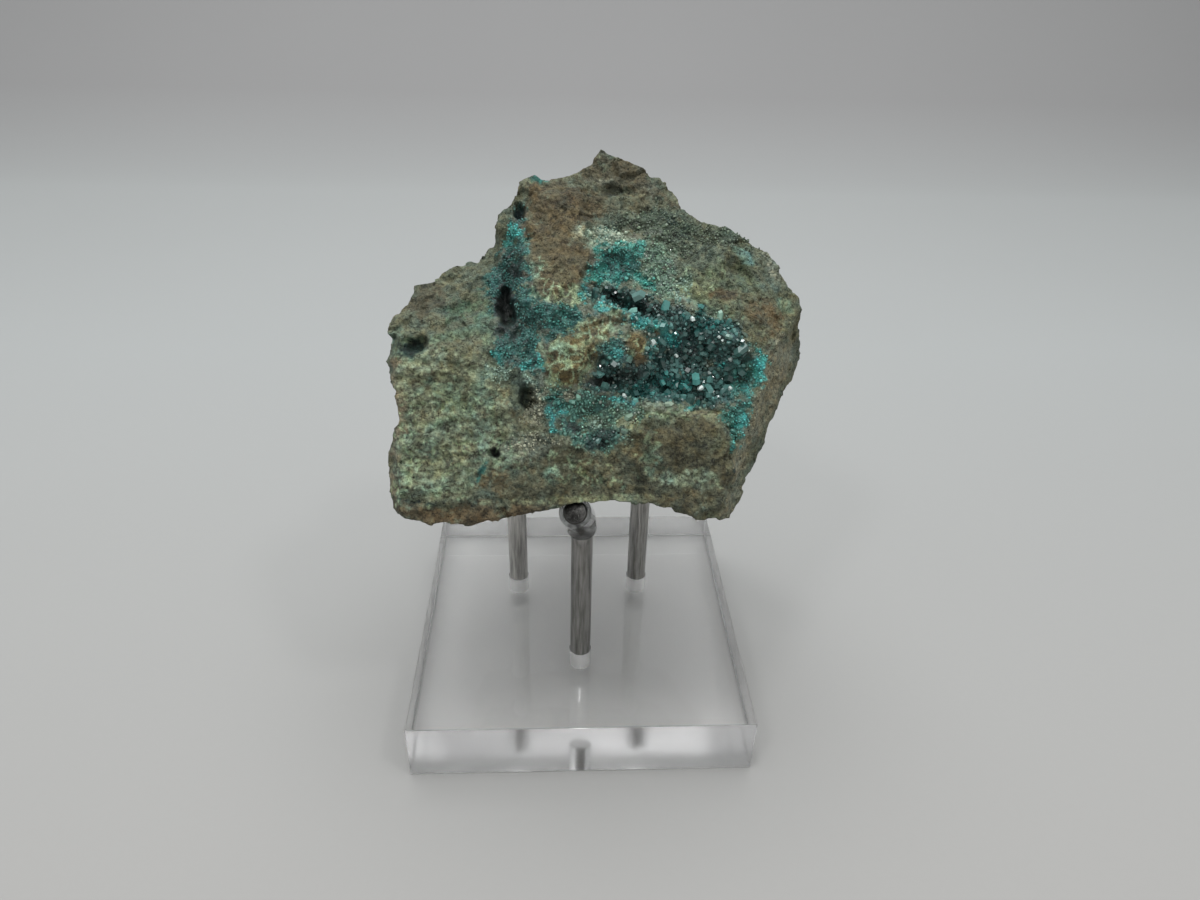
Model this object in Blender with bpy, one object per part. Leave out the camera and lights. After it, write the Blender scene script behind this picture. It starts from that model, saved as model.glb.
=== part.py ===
"""A rough dioptase specimen on its peg stand.

A lump of brown rock, with a hollow lined by a crust of green crystals, rests on the sleeved tips of three
bent rods that stand in a clear square block. The numbers below are millimetres and MM turns them into
metres. The block stands on z = 0 with its centre over the origin, and the rock's open face looks towards -Y.
"""

import math
import random

import bmesh
import bpy
import numpy as np
from mathutils import Matrix, Vector
from mathutils.bvhtree import BVHTree
from mathutils.geometry import delaunay_2d_cdt

MM = 0.001
GAP = 0.3

# The clear block
BLOCK_SIDE = 50.8
BLOCK_HEIGHT = 9.525
BLOCK_EDGE = 0.35
HOLE_DEPTH = 5.7
HOLE_SIDES = 24

# The bent rods: straight up, an arc outwards, and a short straight end
ROD_RADIUS = 3.175 / 2
ROD_SIDES = 16
ROD_STRAIGHT = 20.75
ROD_BEND_RADIUS = 10.5
ROD_BEND = math.radians(50)
ROD_END = 5.75
ROD_BEND_STEPS = 5
SLEEVE_RADIUS = 2.15
SLEEVE_WALL = 0.31
SLEEVE_LENGTH = 14.0
SLEEVE_LIP = 0.15

# Where each rod stands on the block, and the direction in which its end leans
RODS = {
    "front": ((0.0, -9.5), -98.8),
    "rear_left": ((-10.4, 8.5), 140.7),
    "rear_right": ((10.3, 8.4), 39.1),
}

# The rock's face leans back from the vertical. A place on it is (u, v) to the right and up along the face,
# and w stands out from it.
LEAN = math.radians(32)
FACE_ORIGIN = np.array([0.0, -10.0, 62.0])
FACE_U = np.array([1.0, 0.0, 0.0])
FACE_V = np.array([0.0, math.sin(LEAN), math.cos(LEAN)])
FACE_W = np.array([0.0, -math.cos(LEAN), math.sin(LEAN)])

# The rock's outline as (u, v), clockwise from the peak
OUTLINE = [
    (2.4, 28.2), (4.2, 27.0), (6.5, 25.9), (8.3, 25.0), (9.3, 24.0), (10.3, 23.7), (11.3, 22.3), (12.6, 20.9),
    (12.8, 19.3), (13.9, 18.3), (16.2, 17.2), (19.1, 16.8), (21.7, 15.3), (24.0, 13.9), (25.2, 13.4),
    (26.1, 11.9), (26.8, 9.8), (28.4, 7.6), (29.1, 5.1), (29.0, 3.6), (31.0, 0.9), (30.4, -1.1), (29.4, -3.1),
    (27.5, -4.9), (26.4, -7.3), (25.3, -9.6), (24.7, -11.8), (23.6, -14.0), (21.8, -16.6), (21.3, -18.4),
    (20.2, -20.5), (19.2, -21.9), (16.1, -21.8), (13.2, -21.3), (10.7, -20.2), (8.0, -19.6), (4.0, -19.3),
    (-1.5, -19.6), (-6.0, -20.7), (-10.7, -21.4), (-14.8, -22.4), (-20.3, -22.0), (-23.0, -21.4),
    (-25.0, -20.4), (-25.5, -18.1), (-25.3, -16.0), (-25.7, -13.7), (-24.7, -11.9), (-23.4, -8.5),
    (-23.9, -5.5), (-24.7, -3.5), (-25.4, -0.7), (-25.2, 2.4), (-24.4, 4.3), (-22.9, 6.1), (-22.1, 8.7),
    (-19.7, 9.4), (-18.7, 10.8), (-17.5, 11.7), (-13.9, 12.5), (-12.9, 13.9), (-12.0, 14.8), (-11.3, 18.3),
    (-9.7, 20.0), (-8.5, 22.8), (-6.7, 24.2), (-5.1, 23.3), (-1.3, 24.3), (1.0, 25.9),
]
# Where the open face breaks into the right-hand side, bottom to top, and into the left-hand side
RIDGE = [
    (17.3, -21.8), (18.0, -18.5), (18.7, -13.2), (20.2, -9.7), (21.2, -6.2), (23.2, -1.2), (26.2, 2.4),
    (28.8, 6.0),
]
RIGHT_FALL = 1.35
LEFT_EDGE = -23.6
LEFT_EDGE_TOP = 2.0
LEFT_FALL = 2.0
# The broad planes of the open face, each w = level + u * across + v * up
LOWER_FACE = (0.5, 0.0, 0.12)
UPPER_FACE = (1.0, 0.0, -0.34)
SHOULDER_FACE = (1.7, 0.10, -0.60)
CORNER_FACE = (5.26, -0.28, -0.30)
SEAM_FOOT = -7.75
SEAM_SLOPE = -0.25
SEAM_WIDTH = 2.0

# Lumps and hollows of the open face: (u, v, half width, half height, turn, rise, squareness, edge)
FORMS = {
    "tongue": (-3.2, 12.6, 4.6, 10.4, 4, 1.1, 4, 0.30),
    "fissure": (-9.6, 11.5, 1.5, 9.0, 4, -2.2, 2, 0.7),
    "crevice": (-10.2, 5.4, 1.3, 3.8, 8, -4.0, 2, 0.6),
    "fissure_eye": (-8.6, 18.9, 1.0, 1.5, 10, -2.2, 2, 0.6),
    "left_pocket": (-7.3, 1.6, 3.6, 4.6, 20, -1.6, 2, 0.8),
    "upper_pocket": (4.2, 10.6, 3.7, 4.4, -10, -1.7, 2, 0.7),
    "upper_basin": (9.4, 10.0, 4.0, 6.0, 25, -0.8, 2, 0.8),
    "dark_cleft": (5.0, 6.3, 5.6, 1.3, -26, -3.4, 2, 0.7),
    "cleft_lip": (7.0, 3.7, 5.4, 0.7, -27, 0.9, 2, 0.7),
    "main_vug": (14.6, -2.4, 8.6, 5.6, -14, -3.6, 2.4, 0.45),
    "vug_floor": (6.0, -4.4, 5.2, 2.3, -6, -2.4, 2, 0.6),
    "black_pit": (2.7, -4.3, 2.3, 1.0, -8, -1.4, 2, 0.7),
    "island": (-1.6, -0.6, 3.1, 4.5, -38, 1.6, 2.4, 0.5),
    "small_island": (6.7, 0.0, 1.5, 2.2, 10, 1.5, 2, 0.6),
    "side_pit": (-7.4, -6.2, 1.3, 2.1, 8, -3.2, 2, 0.6),
    "lower_druse": (0.6, -8.8, 5.2, 3.6, -20, -1.6, 2, 0.7),
    "dark_tip": (1.9, -12.2, 1.6, 1.3, 0, -1.4, 2, 0.8),
    "block": (12.8, -15.2, 6.4, 6.3, 3, 1.3, 5, 0.22),
    "ledge": (-2.6, -11.9, 3.2, 0.8, -14, 0.8, 2, 0.6),
    "ridge_band": (20.9, -5.5, 1.5, 6.6, -20, -1.0, 2, 0.6),
    "small_hole": (-11.7, -13.2, 0.9, 0.8, 0, -2.2, 2, 0.6),
    "corner_hole": (-21.6, 0.5, 2.0, 1.5, 10, -2.4, 2, 0.7),
    "shoulder_dip": (-15.4, 5.0, 3.6, 2.6, 20, -1.1, 2, 0.8),
    "crown_dip": (4.8, 21.9, 2.6, 1.2, -15, -1.2, 2, 0.7),
    "corner_dip": (20.6, 11.0, 3.6, 1.8, -35, -1.0, 2, 0.8),
    "corner_lump": (20.5, 5.0, 3.6, 2.2, -30, 0.9, 2, 0.7),
}
FORM_RAGGED = 0.16
FORM_RAGGED_SIZE = 1.7
# The open face's flat chips, its grain, and the long streaks of its left-hand part, each (size, height)
FRONT_CHIPS = (3.6, 0.62)
FRONT_GRAIN = (1.9, 0.28)
FRONT_STREAKS = (1.6, 0.3)
STREAK_STRETCH = (0.45, 1.5, 1.0)
STREAK_EDGE = -5.0
STREAK_FADE = 3.0
CHIP_JITTER = 0.42

# The crystal crust's outline on the face, and the two bare islands in it
CRUST = [
    (-8.3, 20.3), (-7.3, 18.2), (-7.7, 14.8), (-6.9, 11.0), (-6.5, 7.5), (-3.1, 5.1), (-1.3, 4.6), (0.3, 9.4),
    (0.7, 13.7), (2.7, 14.9), (6.6, 17.6), (10.5, 16.7), (12.2, 13.0), (12.0, 8.0), (16.8, 4.9), (19.8, 1.9),
    (22.4, -0.7), (22.0, -4.1), (20.6, -7.9), (19.0, -13.0), (17.8, -9.6), (15.6, -8.3), (12.9, -8.8),
    (8.0, -8.0), (5.6, -9.8), (4.3, -12.0), (2.1, -13.1), (-0.5, -11.6), (-4.2, -10.4), (-5.7, -5.7),
    (-6.0, -3.2), (-8.7, -2.8), (-11.8, -1.6), (-11.6, 1.7), (-12.0, 5.8), (-12.4, 9.3), (-11.9, 12.0),
    (-10.6, 14.6), (-9.9, 18.6),
]
BARE_ISLANDS = [
    [(-4.6, 0.4), (-1.6, 3.3), (1.0, 4.0), (3.0, 2.6), (1.1, -1.7), (-0.8, -4.2), (-3.4, -4.6), (-4.9, -2.8)],
    [(5.6, 1.7), (7.5, 1.9), (8.2, 0.0), (7.2, -1.7), (5.5, -1.1)],
]
CRUST_BED = 0.9
CRUST_RIM = 0.35
CRUST_BODY = 0.6
CRUST_FADE = 0.9

# The rock's broken back, as flat sides: (direction round Z, tilt up, distance from BODY_CENTRE)
BODY_CENTRE = np.array([2.0, -1.0, 61.0])
BODY_SIDES = {
    "rear": (91, 5, 18.0),
    "rear_top": (84, 40, 21.5),
    "rear_left": (141, 6, 26.0),
    "rear_right": (41, 8, 24.0),
    "left": (184, 2, 27.0),
    "left_low": (195, -36, 27.0),
    "right": (4, -8, 28.5),
    "right_low": (18, -44, 27.0),
    "rear_low": (96, -52, 26.5),
    "top_left": (152, 46, 24.0),
    "top_right": (38, 50, 24.5),
}
# The underside is level round the rods and hangs lower in two lobes at the front
SIDE_LOBE_DROP = 2.2
SIDE_LOBE_GAP = 5.0
SIDE_LOBE_FADE = 6.0
SIDE_LOBE_MIDDLE = -0.5
SIDE_LOBE_BACK = -6.0
SIDE_LOBE_LENGTH = 13.0
ROD_SEAT = 3.6
ROD_SEAT_FADE = 3.0
DEEPEST_HOLLOW_BELOW = 0.2
RIM_THICKNESS = 1.1
RIM_WIDTH = 5.0
RIM_GROWTH = 1.2
RIM_TAPER = 5.0
BACK_CHIPS = (6.5, 1.1)
BACK_GRAIN = (3.0, 0.45)
BACK_ROUGH_FADE = 3.0
# The sides behind the rim, each along an edge of the outline: (from, to, w at the rim, steepness)
BACK_EDGES = [
    ((-6.7, 24.5), (2.4, 28.6), -9.0, 1.7),
    ((2.4, 28.6), (25.8, 13.8), -8.0, 1.6),
    ((25.8, 13.8), (30.5, 4.0), -7.5, 2.6),
    ((30.5, 4.0), (30.8, -1.0), -12.5, 2.6),
    ((30.8, -1.0), (19.5, -22.0), -9.5, 2.4),
    ((-25.4, -20.5), (-25.8, 2.0), -5.0, 4.5),
    ((-25.8, 2.0), (-22.4, 9.2), -5.0, 4.6),
    ((-22.4, 9.2), (-6.7, 24.5), -7.0, 3.0),
]
HEART = (2.0, -1.0, -15.0)
MARCH_STEP = 0.3
MARCH_REACH = 48.0

# How finely the rock's surfaces are cut into facets
OUTLINE_STEP = 1.45
CRUST_STEP = 1.35
FRONT_STEP = 1.5
BACK_STEP = 2.5
OUTLINE_RAGGED = 0.16
SCATTER = 0.27
SCATTER_CLEAR = 0.72

# The crystals: six-sided prisms with a three-faced tip. Girth and lengths are shares of a crystal's size.
CRYSTAL_FIELD = ((-12.5, -13.0), (22.5, 20.0))
CRYSTAL_SPACING = 1.7
CRYSTAL_TRIES = 6000
CRYSTAL_EDGE = 1.0
CRYSTAL_SIZES = (0.7, 1.1)
VUG_CRYSTAL_SIZES = (1.05, 1.7)
CRYSTAL_GIRTH = 0.62
CRYSTAL_LENGTHS = (1.3, 1.9)
CRYSTAL_BLUNTNESS = (0.35, 0.5)
CRYSTAL_SINK = 0.35
CRYSTAL_CLEAR = 0.08
CRYSTAL_TILTS = (5, 40)
VUG_CENTRE = (14.0, -2.5)
VUG_REACH = 9.0

SMOOTH_ANGLE = math.radians(35)
# Starting numbers for everything that is scattered, so that each build is the same
SEEDS = {
    "rim": 5, "front_net": 7, "back_net": 9, "form_edges": 11, "crystal_places": 17, "streaks": 21,
    "crystals": 23, "front_chips": 31, "front_grain": 41, "back_chips": 51, "back_grain": 61,
}
HASH_STEPS = (374761393, 668265263, 362437)
HASH_SEED = 974711
HASH_MIX = 1274126177

MATERIALS = {
    "acrylic": ((0.86, 0.88, 0.88), 0.05, 0.0, 1.0),
    "aluminium": ((0.42, 0.42, 0.40), 0.38, 1.0, 0.0),
    "vinyl": ((0.78, 0.79, 0.78), 0.15, 0.0, 0.9),
    "rock": ((0.13, 0.125, 0.085), 0.85, 0.0, 0.0),
    "dioptase": ((0.02, 0.16, 0.13), 0.12, 0.0, 0.0),
}


def clear_scene():
    for obj in list(bpy.data.objects):
        bpy.data.objects.remove(obj, do_unlink=True)


def material(name):
    colour, roughness, metallic, transmission = MATERIALS[name]
    made = bpy.data.materials.get(name) or bpy.data.materials.new(name)
    made.use_nodes = True
    shader = made.node_tree.nodes["Principled BSDF"]
    shader.inputs["Base Color"].default_value = (*colour, 1.0)
    shader.inputs["Roughness"].default_value = roughness
    shader.inputs["Metallic"].default_value = metallic
    shader.inputs["Transmission Weight"].default_value = transmission
    return made


def add_object(name, mesh, material_name):
    obj = bpy.data.objects.new(name, mesh)
    bpy.context.scene.collection.objects.link(obj)
    if material_name:
        mesh.materials.append(material(material_name))
    return obj


def mesh_from(name, points, faces):
    """A mesh from points in millimetres."""
    mesh = bpy.data.meshes.new(name)
    corners = [tuple(float(c) * MM for c in point) for point in points]
    mesh.from_pydata(corners, [], [tuple(map(int, face)) for face in faces])
    mesh.validate()
    mesh.update()
    return mesh


def face_outwards(mesh):
    work = bmesh.new()
    work.from_mesh(mesh)
    bmesh.ops.recalc_face_normals(work, faces=work.faces)
    work.to_mesh(mesh)
    work.free()


def boolean(obj, operation, other, use_self=False):
    other.hide_render = True
    other.display_type = "WIRE"
    cut = obj.modifiers.new(operation.title(), "BOOLEAN")
    cut.operation = operation
    cut.solver = "EXACT"
    cut.use_self = use_self
    cut.object = other


def smooth_step(t):
    t = np.clip(t, 0.0, 1.0)
    return t * t * (3 - 2 * t)


def lattice(cell, seed):
    """A repeatable random number from -1 to 1 for each whole-numbered cell."""
    mixed = sum(cell[..., k] * HASH_STEPS[k] for k in range(3)) + seed * HASH_SEED
    mixed = mixed & 0xFFFFFFFF
    mixed = ((mixed ^ (mixed >> 13)) * HASH_MIX) & 0xFFFFFFFF
    return ((mixed ^ (mixed >> 16)) & 0xFFFF) / 32767.5 - 1


def grain(points, size, seed):
    """Smooth noise from -1 to 1, with lumps of the given size."""
    scaled = np.asarray(points) / size
    cell = np.floor(scaled).astype(np.int64)
    blend = smooth_step(scaled - cell)
    total = 0.0
    for corner in np.ndindex(2, 2, 2):
        weight = np.prod(np.where(corner, blend, 1 - blend), axis=-1)
        total = total + weight * lattice(cell + np.array(corner), seed)
    return total


def chips(points, size, seed):
    """Flat broken facets: each cell of a jittered grid tilts its own way."""
    scaled = np.asarray(points) / size
    home = np.floor(scaled).astype(np.int64)
    nearest = np.full(scaled.shape[:-1], np.inf)
    value = np.zeros(scaled.shape[:-1])
    for shift in np.ndindex(3, 3, 3):
        cell = home + np.array(shift) - 1
        jitter = np.stack([lattice(cell, seed + k) for k in (1, 2, 3)], axis=-1)
        tilt = np.stack([lattice(cell, seed + k) for k in (4, 5, 6)], axis=-1)
        offset = scaled - (cell + 0.5 + CHIP_JITTER * jitter)
        distance = (offset**2).sum(axis=-1)
        closer = distance < nearest
        nearest = np.where(closer, distance, nearest)
        value = np.where(closer, (offset * tilt).sum(axis=-1), value)
    return value


def flat(u, v):
    return np.stack([u, v, np.zeros_like(u)], axis=-1)


def plane(face, u, v):
    level, across, up = face
    return level + across * u + up * v


def form_height(form, u, v):
    """A lump or a hollow with a ragged edge."""
    centre_u, centre_v, half_u, half_v, turn, rise, squareness, edge = form
    turn = math.radians(turn)
    du = (u - centre_u) * math.cos(turn) + (v - centre_v) * math.sin(turn)
    dv = (v - centre_v) * math.cos(turn) - (u - centre_u) * math.sin(turn)
    reach = (np.abs(du / half_u) ** squareness + np.abs(dv / half_v) ** squareness) ** (1 / squareness)
    reach = reach + FORM_RAGGED * grain(flat(u, v), FORM_RAGGED_SIZE, SEEDS["form_edges"])
    return rise * smooth_step((1 - reach) / edge)


def broad_face(u, v):
    """The open face without its lumps and hollows: planes that meet at blunt edges."""
    lower = plane(LOWER_FACE, u, v)
    beside_seam = smooth_step((u - SEAM_FOOT - SEAM_SLOPE * v) / SEAM_WIDTH + 0.5)
    right_part = np.minimum(np.minimum(lower, plane(UPPER_FACE, u, v)), plane(CORNER_FACE, u, v))
    left_part = np.minimum(lower, plane(SHOULDER_FACE, u, v))
    level = right_part * beside_seam + left_part * (1 - beside_seam)
    ridge_v = [point[1] for point in RIDGE]
    ridge_u = [point[0] for point in RIDGE]
    past_ridge = np.maximum(u - np.interp(v, ridge_v, ridge_u), 0) * (v < RIDGE[-1][1])
    past_left = np.maximum(LEFT_EDGE - u, 0) * (v < LEFT_EDGE_TOP)
    return level - RIGHT_FALL * past_ridge - LEFT_FALL * past_left


def front_level(u, v):
    level = broad_face(u, v)
    for form in FORMS.values():
        level = level + form_height(form, u, v)
    place = flat(u, v)
    size, height = FRONT_STREAKS
    streaks = height * grain(place * STREAK_STRETCH, size, SEEDS["streaks"])
    level = level + streaks * smooth_step((STREAK_EDGE - u) / STREAK_FADE)
    size, height = FRONT_CHIPS
    level = level + height * chips(place, size, SEEDS["front_chips"])
    size, height = FRONT_GRAIN
    return level + height * grain(place, size, SEEDS["front_grain"])


def to_world(u, v, w):
    return FACE_ORIGIN + u[..., None] * FACE_U + v[..., None] * FACE_V + w[..., None] * FACE_W


def rod_path():
    """A rod's middle line from the block's top as (outward, up), and its direction at each point."""
    middle = [(0.0, -HOLE_DEPTH + GAP), (0.0, ROD_STRAIGHT / 2)]
    heading = [0.0, 0.0]
    for step in range(ROD_BEND_STEPS + 1):
        angle = ROD_BEND * step / ROD_BEND_STEPS
        out = ROD_BEND_RADIUS * (1 - math.cos(angle))
        middle.append((out, ROD_STRAIGHT + ROD_BEND_RADIUS * math.sin(angle)))
        heading.append(angle)
    out, up = middle[-1]
    middle.append((out + ROD_END * math.sin(ROD_BEND), up + ROD_END * math.cos(ROD_BEND)))
    heading.append(ROD_BEND)
    return middle, heading


def rod_tip(name):
    """The middle of a rod's end in the world, and the height that its sleeve reaches."""
    (x, y), heading = RODS[name]
    out, up = rod_path()[0][-1]
    turn = math.radians(heading)
    reach = SLEEVE_RADIUS * math.sin(ROD_BEND)
    return np.array([x + out * math.cos(turn), y + out * math.sin(turn), BLOCK_HEIGHT + up + reach])


def underside(points):
    """The height of the rock's underside: level where the rods hold it, lower in two lobes at the front."""
    level = rod_tip("front")[2] + GAP
    x, y = points[..., 0], points[..., 1]
    beside = smooth_step((np.abs(x - SIDE_LOBE_MIDDLE) - SIDE_LOBE_GAP) / SIDE_LOBE_FADE)
    return level - SIDE_LOBE_DROP * beside * np.clip((SIDE_LOBE_BACK - y) / SIDE_LOBE_LENGTH, 0, 1)


def near_rods(points):
    """0 where a rod holds the rock, rising to 1 a few millimetres away."""
    far = np.ones(points.shape[:-1])
    for name in RODS:
        tip = rod_tip(name)
        away = np.hypot(points[..., 0] - tip[0], points[..., 1] - tip[1])
        far = np.minimum(far, smooth_step((away - ROD_SEAT) / ROD_SEAT_FADE))
    return far


def inside_body(points):
    """How deep a point lies inside the rock's broken sides, negative outside."""
    relative = points - BODY_CENTRE
    depth = np.full(points.shape[:-1], np.inf)
    for turn, tilt, distance in BODY_SIDES.values():
        turn, tilt = math.radians(turn), math.radians(tilt)
        level = math.cos(tilt)
        normal = np.array([level * math.cos(turn), level * math.sin(turn), math.sin(tilt)])
        depth = np.minimum(depth, distance - relative @ normal)
    on_face = points - FACE_ORIGIN
    u, v, w = on_face @ FACE_U, on_face @ FACE_V, on_face @ FACE_W
    for (u0, v0), (u1, v1), rim_level, taper in BACK_EDGES:
        length = math.dist((u0, v0), (u1, v1))
        inwards = ((u - u0) * (v1 - v0) - (v - v0) * (u1 - u0)) / length
        depth = np.minimum(depth, (inwards * taper - (rim_level - w)) / math.hypot(1, taper))
    within = np.where(inside_loop(OUTLINE, u, v), 1, -1) * loop_distance(OUTLINE, u, v)
    behind_face = broad_face(u, v) - RIM_THICKNESS - w
    depth = np.minimum(depth, (within * RIM_TAPER - behind_face) / math.hypot(1, RIM_TAPER))
    rough = BACK_CHIPS[1] * chips(points, BACK_CHIPS[0], SEEDS["back_chips"])
    rough = rough + BACK_GRAIN[1] * grain(points, BACK_GRAIN[0], SEEDS["back_grain"])
    rough = rough * smooth_step(np.minimum(within, behind_face) / BACK_ROUGH_FADE)
    below = points[..., 2] - underside(points)
    below = below + np.maximum(rough * near_rods(points), -DEEPEST_HOLLOW_BELOW)
    depth = np.minimum(depth + rough, below)
    skin = RIM_GROWTH * np.clip(within, 0, RIM_WIDTH) - behind_face
    return np.where(within > 0, np.maximum(depth, skin), depth)


def outline_ahead(u, v):
    """The outline's point straight out from the heart through each (u, v), and the share of the way there."""
    loop = np.array(OUTLINE)
    turns = np.arctan2(loop[:, 1] - HEART[1], loop[:, 0] - HEART[0])
    order = np.argsort(turns)
    reach = np.hypot(loop[:, 0] - HEART[0], loop[:, 1] - HEART[1])[order]
    turn = np.arctan2(v - HEART[1], u - HEART[0])
    limit = np.interp(turn, turns[order], reach, period=2 * math.pi)
    out = np.hypot(u - HEART[0], v - HEART[1])
    return HEART[0] + limit * np.cos(turn), HEART[1] + limit * np.sin(turn), np.clip(out / limit, 0, 1)


def back_points(u, v):
    """The rock's back: rays from its heart, from the rim's own direction round to straight behind."""
    heart = to_world(*(np.array(c, float) for c in HEART))
    rim_u, rim_v, share = outline_ahead(u, v)
    to_rim = to_world(rim_u, rim_v, broad_face(rim_u, rim_v) - RIM_THICKNESS) - heart
    to_rim /= np.linalg.norm(to_rim, axis=-1, keepdims=True)
    sweep = np.arccos(np.clip(-to_rim @ FACE_W, -1, 1))
    aside = to_rim + (to_rim @ -FACE_W)[:, None] * FACE_W
    aside /= np.linalg.norm(aside, axis=-1, keepdims=True)
    angle = (share * sweep)[:, None]
    direction = np.sin(angle) * aside - np.cos(angle) * FACE_W
    steps = np.arange(0, MARCH_REACH, MARCH_STEP)
    depth = inside_body(heart + direction[:, None, :] * steps[None, :, None])
    outside = depth < 0
    outside[:, -1] = True
    first = np.maximum(outside.argmax(axis=1), 1)
    rows = np.arange(len(u))
    last_in = depth[rows, first - 1]
    reach = steps[first - 1] + MARCH_STEP * last_in / np.maximum(last_in - depth[rows, first], 1e-6)
    return heart + direction * reach[:, None]


def evenly(loop, step, closed=True):
    """Points at about equal steps along a line of straight pieces, with the corners kept."""
    ends = list(zip(loop, loop[1:] + loop[:1] if closed else loop[1:]))
    points = []
    for start, end in ends:
        count = max(1, round(math.dist(start, end) / step))
        for k in range(count):
            points.append(tuple(a + (b - a) * k / count for a, b in zip(start, end)))
    return points if closed else points + [loop[-1]]


def inside_loop(loop, u, v):
    """Whether each point is inside a closed loop."""
    inside = np.zeros(u.shape, bool)
    for (u0, v0), (u1, v1) in zip(loop, loop[1:] + loop[:1]):
        crosses = (v0 > v) != (v1 > v)
        with np.errstate(divide="ignore", invalid="ignore"):
            where = (u1 - u0) * (v - v0) / (v1 - v0) + u0
        inside ^= crosses & (u < where)
    return inside


def loop_distance(loop, u, v):
    """The distance to the nearest point of a closed loop."""
    nearest = np.full(u.shape, np.inf)
    for (u0, v0), (u1, v1) in zip(loop, loop[1:] + loop[:1]):
        length = (u1 - u0) ** 2 + (v1 - v0) ** 2
        along = np.clip(((u - u0) * (u1 - u0) + (v - v0) * (v1 - v0)) / length, 0, 1)
        nearest = np.minimum(nearest, np.hypot(u - u0 - along * (u1 - u0), v - v0 - along * (v1 - v0)))
    return nearest


def in_crust(u, v):
    """How far a point lies inside the crust's outline, negative outside it."""
    covered = inside_loop(CRUST, u, v)
    distance = loop_distance(CRUST, u, v)
    for island in BARE_ISLANDS:
        covered &= ~inside_loop(island, u, v)
        distance = np.minimum(distance, loop_distance(island, u, v))
    return np.where(covered, distance, -distance)


def rock_level(u, v):
    """The rock's own front, let down where the crust lies on it."""
    return front_level(u, v) - CRUST_BED * smooth_step(in_crust(u, v) / CRUST_FADE)


def net(rim, lines, step, seed):
    """Triangles over the outline: the rim, the lines that they follow, and scattered points between."""
    dice = random.Random(seed)
    points = list(rim)
    edges = []
    for line, closed in lines:
        start = len(points)
        points += line
        edges += [(start + k, start + k + 1) for k in range(len(line) - 1)]
        edges += [(len(points) - 1, start)] * closed
    fixed = np.array(points)
    low, high = fixed.min(axis=0), fixed.max(axis=0)
    row_height = step * math.sqrt(0.75)
    for row in range(int((high[1] - low[1]) / row_height) + 1):
        for column in range(int((high[0] - low[0]) / step) + 1):
            u = low[0] + (column + 0.5 * (row % 2) + dice.uniform(-SCATTER, SCATTER)) * step
            v = low[1] + (row + dice.uniform(-SCATTER, SCATTER)) * row_height
            if np.hypot(*(fixed - (u, v)).T).min() > SCATTER_CLEAR * step:
                points.append((u, v))
    rim_count = len(rim)
    edges += [(k, (k + 1) % rim_count) for k in range(rim_count)]
    made = delaunay_2d_cdt([Vector(p) for p in points], edges, [], 0, 1e-5)
    places = np.array([tuple(p) for p in made[0]])
    triangles = np.array([f for f in made[2] if len(f) == 3])
    middle = places[triangles].mean(axis=1)
    triangles = triangles[inside_loop(list(rim), middle[:, 0], middle[:, 1])]
    order = {index: k for k, sources in enumerate(made[3]) for index in sources}
    return places, triangles, [order[k] for k in range(rim_count)]


def ragged_rim():
    dice = random.Random(SEEDS["rim"])
    rim = evenly(OUTLINE, OUTLINE_STEP)
    return [tuple(c + dice.uniform(-1, 1) * OUTLINE_RAGGED for c in point) for point in rim]


def front_net(rim):
    lines = [(evenly(RIDGE[1:-1], OUTLINE_STEP, closed=False), False)]
    lines += [(evenly(loop, CRUST_STEP), True) for loop in (CRUST, *BARE_ISLANDS)]
    return net(rim, lines, FRONT_STEP, SEEDS["front_net"])


def build_rock(rim, front):
    """The front net, a coarser net for the back, and a rim wall between them."""
    places, triangles, rim_order = front
    u, v = places.T
    front_points = to_world(u, v, rock_level(u, v))
    back_places, back_triangles, back_rim = net(rim, [], BACK_STEP, SEEDS["back_net"])
    behind = back_points(*back_places.T)
    behind[back_rim] = front_points[rim_order] - RIM_THICKNESS * FACE_W
    shift = len(front_points)
    faces = [tuple(t) for t in triangles]
    faces += [tuple(t[::-1] + shift) for t in back_triangles]
    count = len(rim)
    for k in range(count):
        a, b = rim_order[k], rim_order[(k + 1) % count]
        c, d = back_rim[k] + shift, back_rim[(k + 1) % count] + shift
        faces += [(a, c, d), (a, d, b)]
    mesh = mesh_from("matrix", np.concatenate([front_points, behind]), faces)
    drop_loose_points(mesh)
    face_outwards(mesh)
    return add_object("matrix", mesh, "rock")


def drop_loose_points(mesh):
    work = bmesh.new()
    work.from_mesh(mesh)
    bmesh.ops.delete(work, geom=[p for p in work.verts if not p.link_faces], context="VERTS")
    work.to_mesh(mesh)
    work.free()


def crust_top(u, v):
    depth_in = in_crust(u, v)
    thickness = CRUST_RIM + CRUST_BODY * smooth_step(depth_in / CRUST_FADE)
    return rock_level(u, v) + GAP + thickness


def build_crust(front, rock):
    """A skin over the hollow on the same net as the rock, with the crystals joined to it."""
    places, triangles, _ = front
    middle = places[triangles].mean(axis=1)
    triangles = triangles[in_crust(middle[:, 0], middle[:, 1]) > 0]
    u, v = places.T
    top = to_world(u, v, crust_top(u, v))
    bottom = to_world(u, v, rock_level(u, v) + GAP)
    shift = len(top)
    faces = [tuple(t) for t in triangles]
    faces += [tuple(t[::-1] + shift) for t in triangles]
    directed = {(int(t[i]), int(t[(i + 1) % 3])) for t in triangles for i in range(3)}
    for a, b in sorted(directed):
        if (b, a) not in directed:
            faces += [(b, a, a + shift), (b, a + shift, b + shift)]
    mesh = mesh_from("dioptase_crust", np.concatenate([top, bottom]), faces)
    drop_loose_points(mesh)
    face_outwards(mesh)
    crust = add_object("dioptase_crust", mesh, "dioptase")
    crystals = add_object("crystals", build_crystals(rock), None)
    boolean(crust, "UNION", crystals, use_self=True)
    return crust


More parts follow.
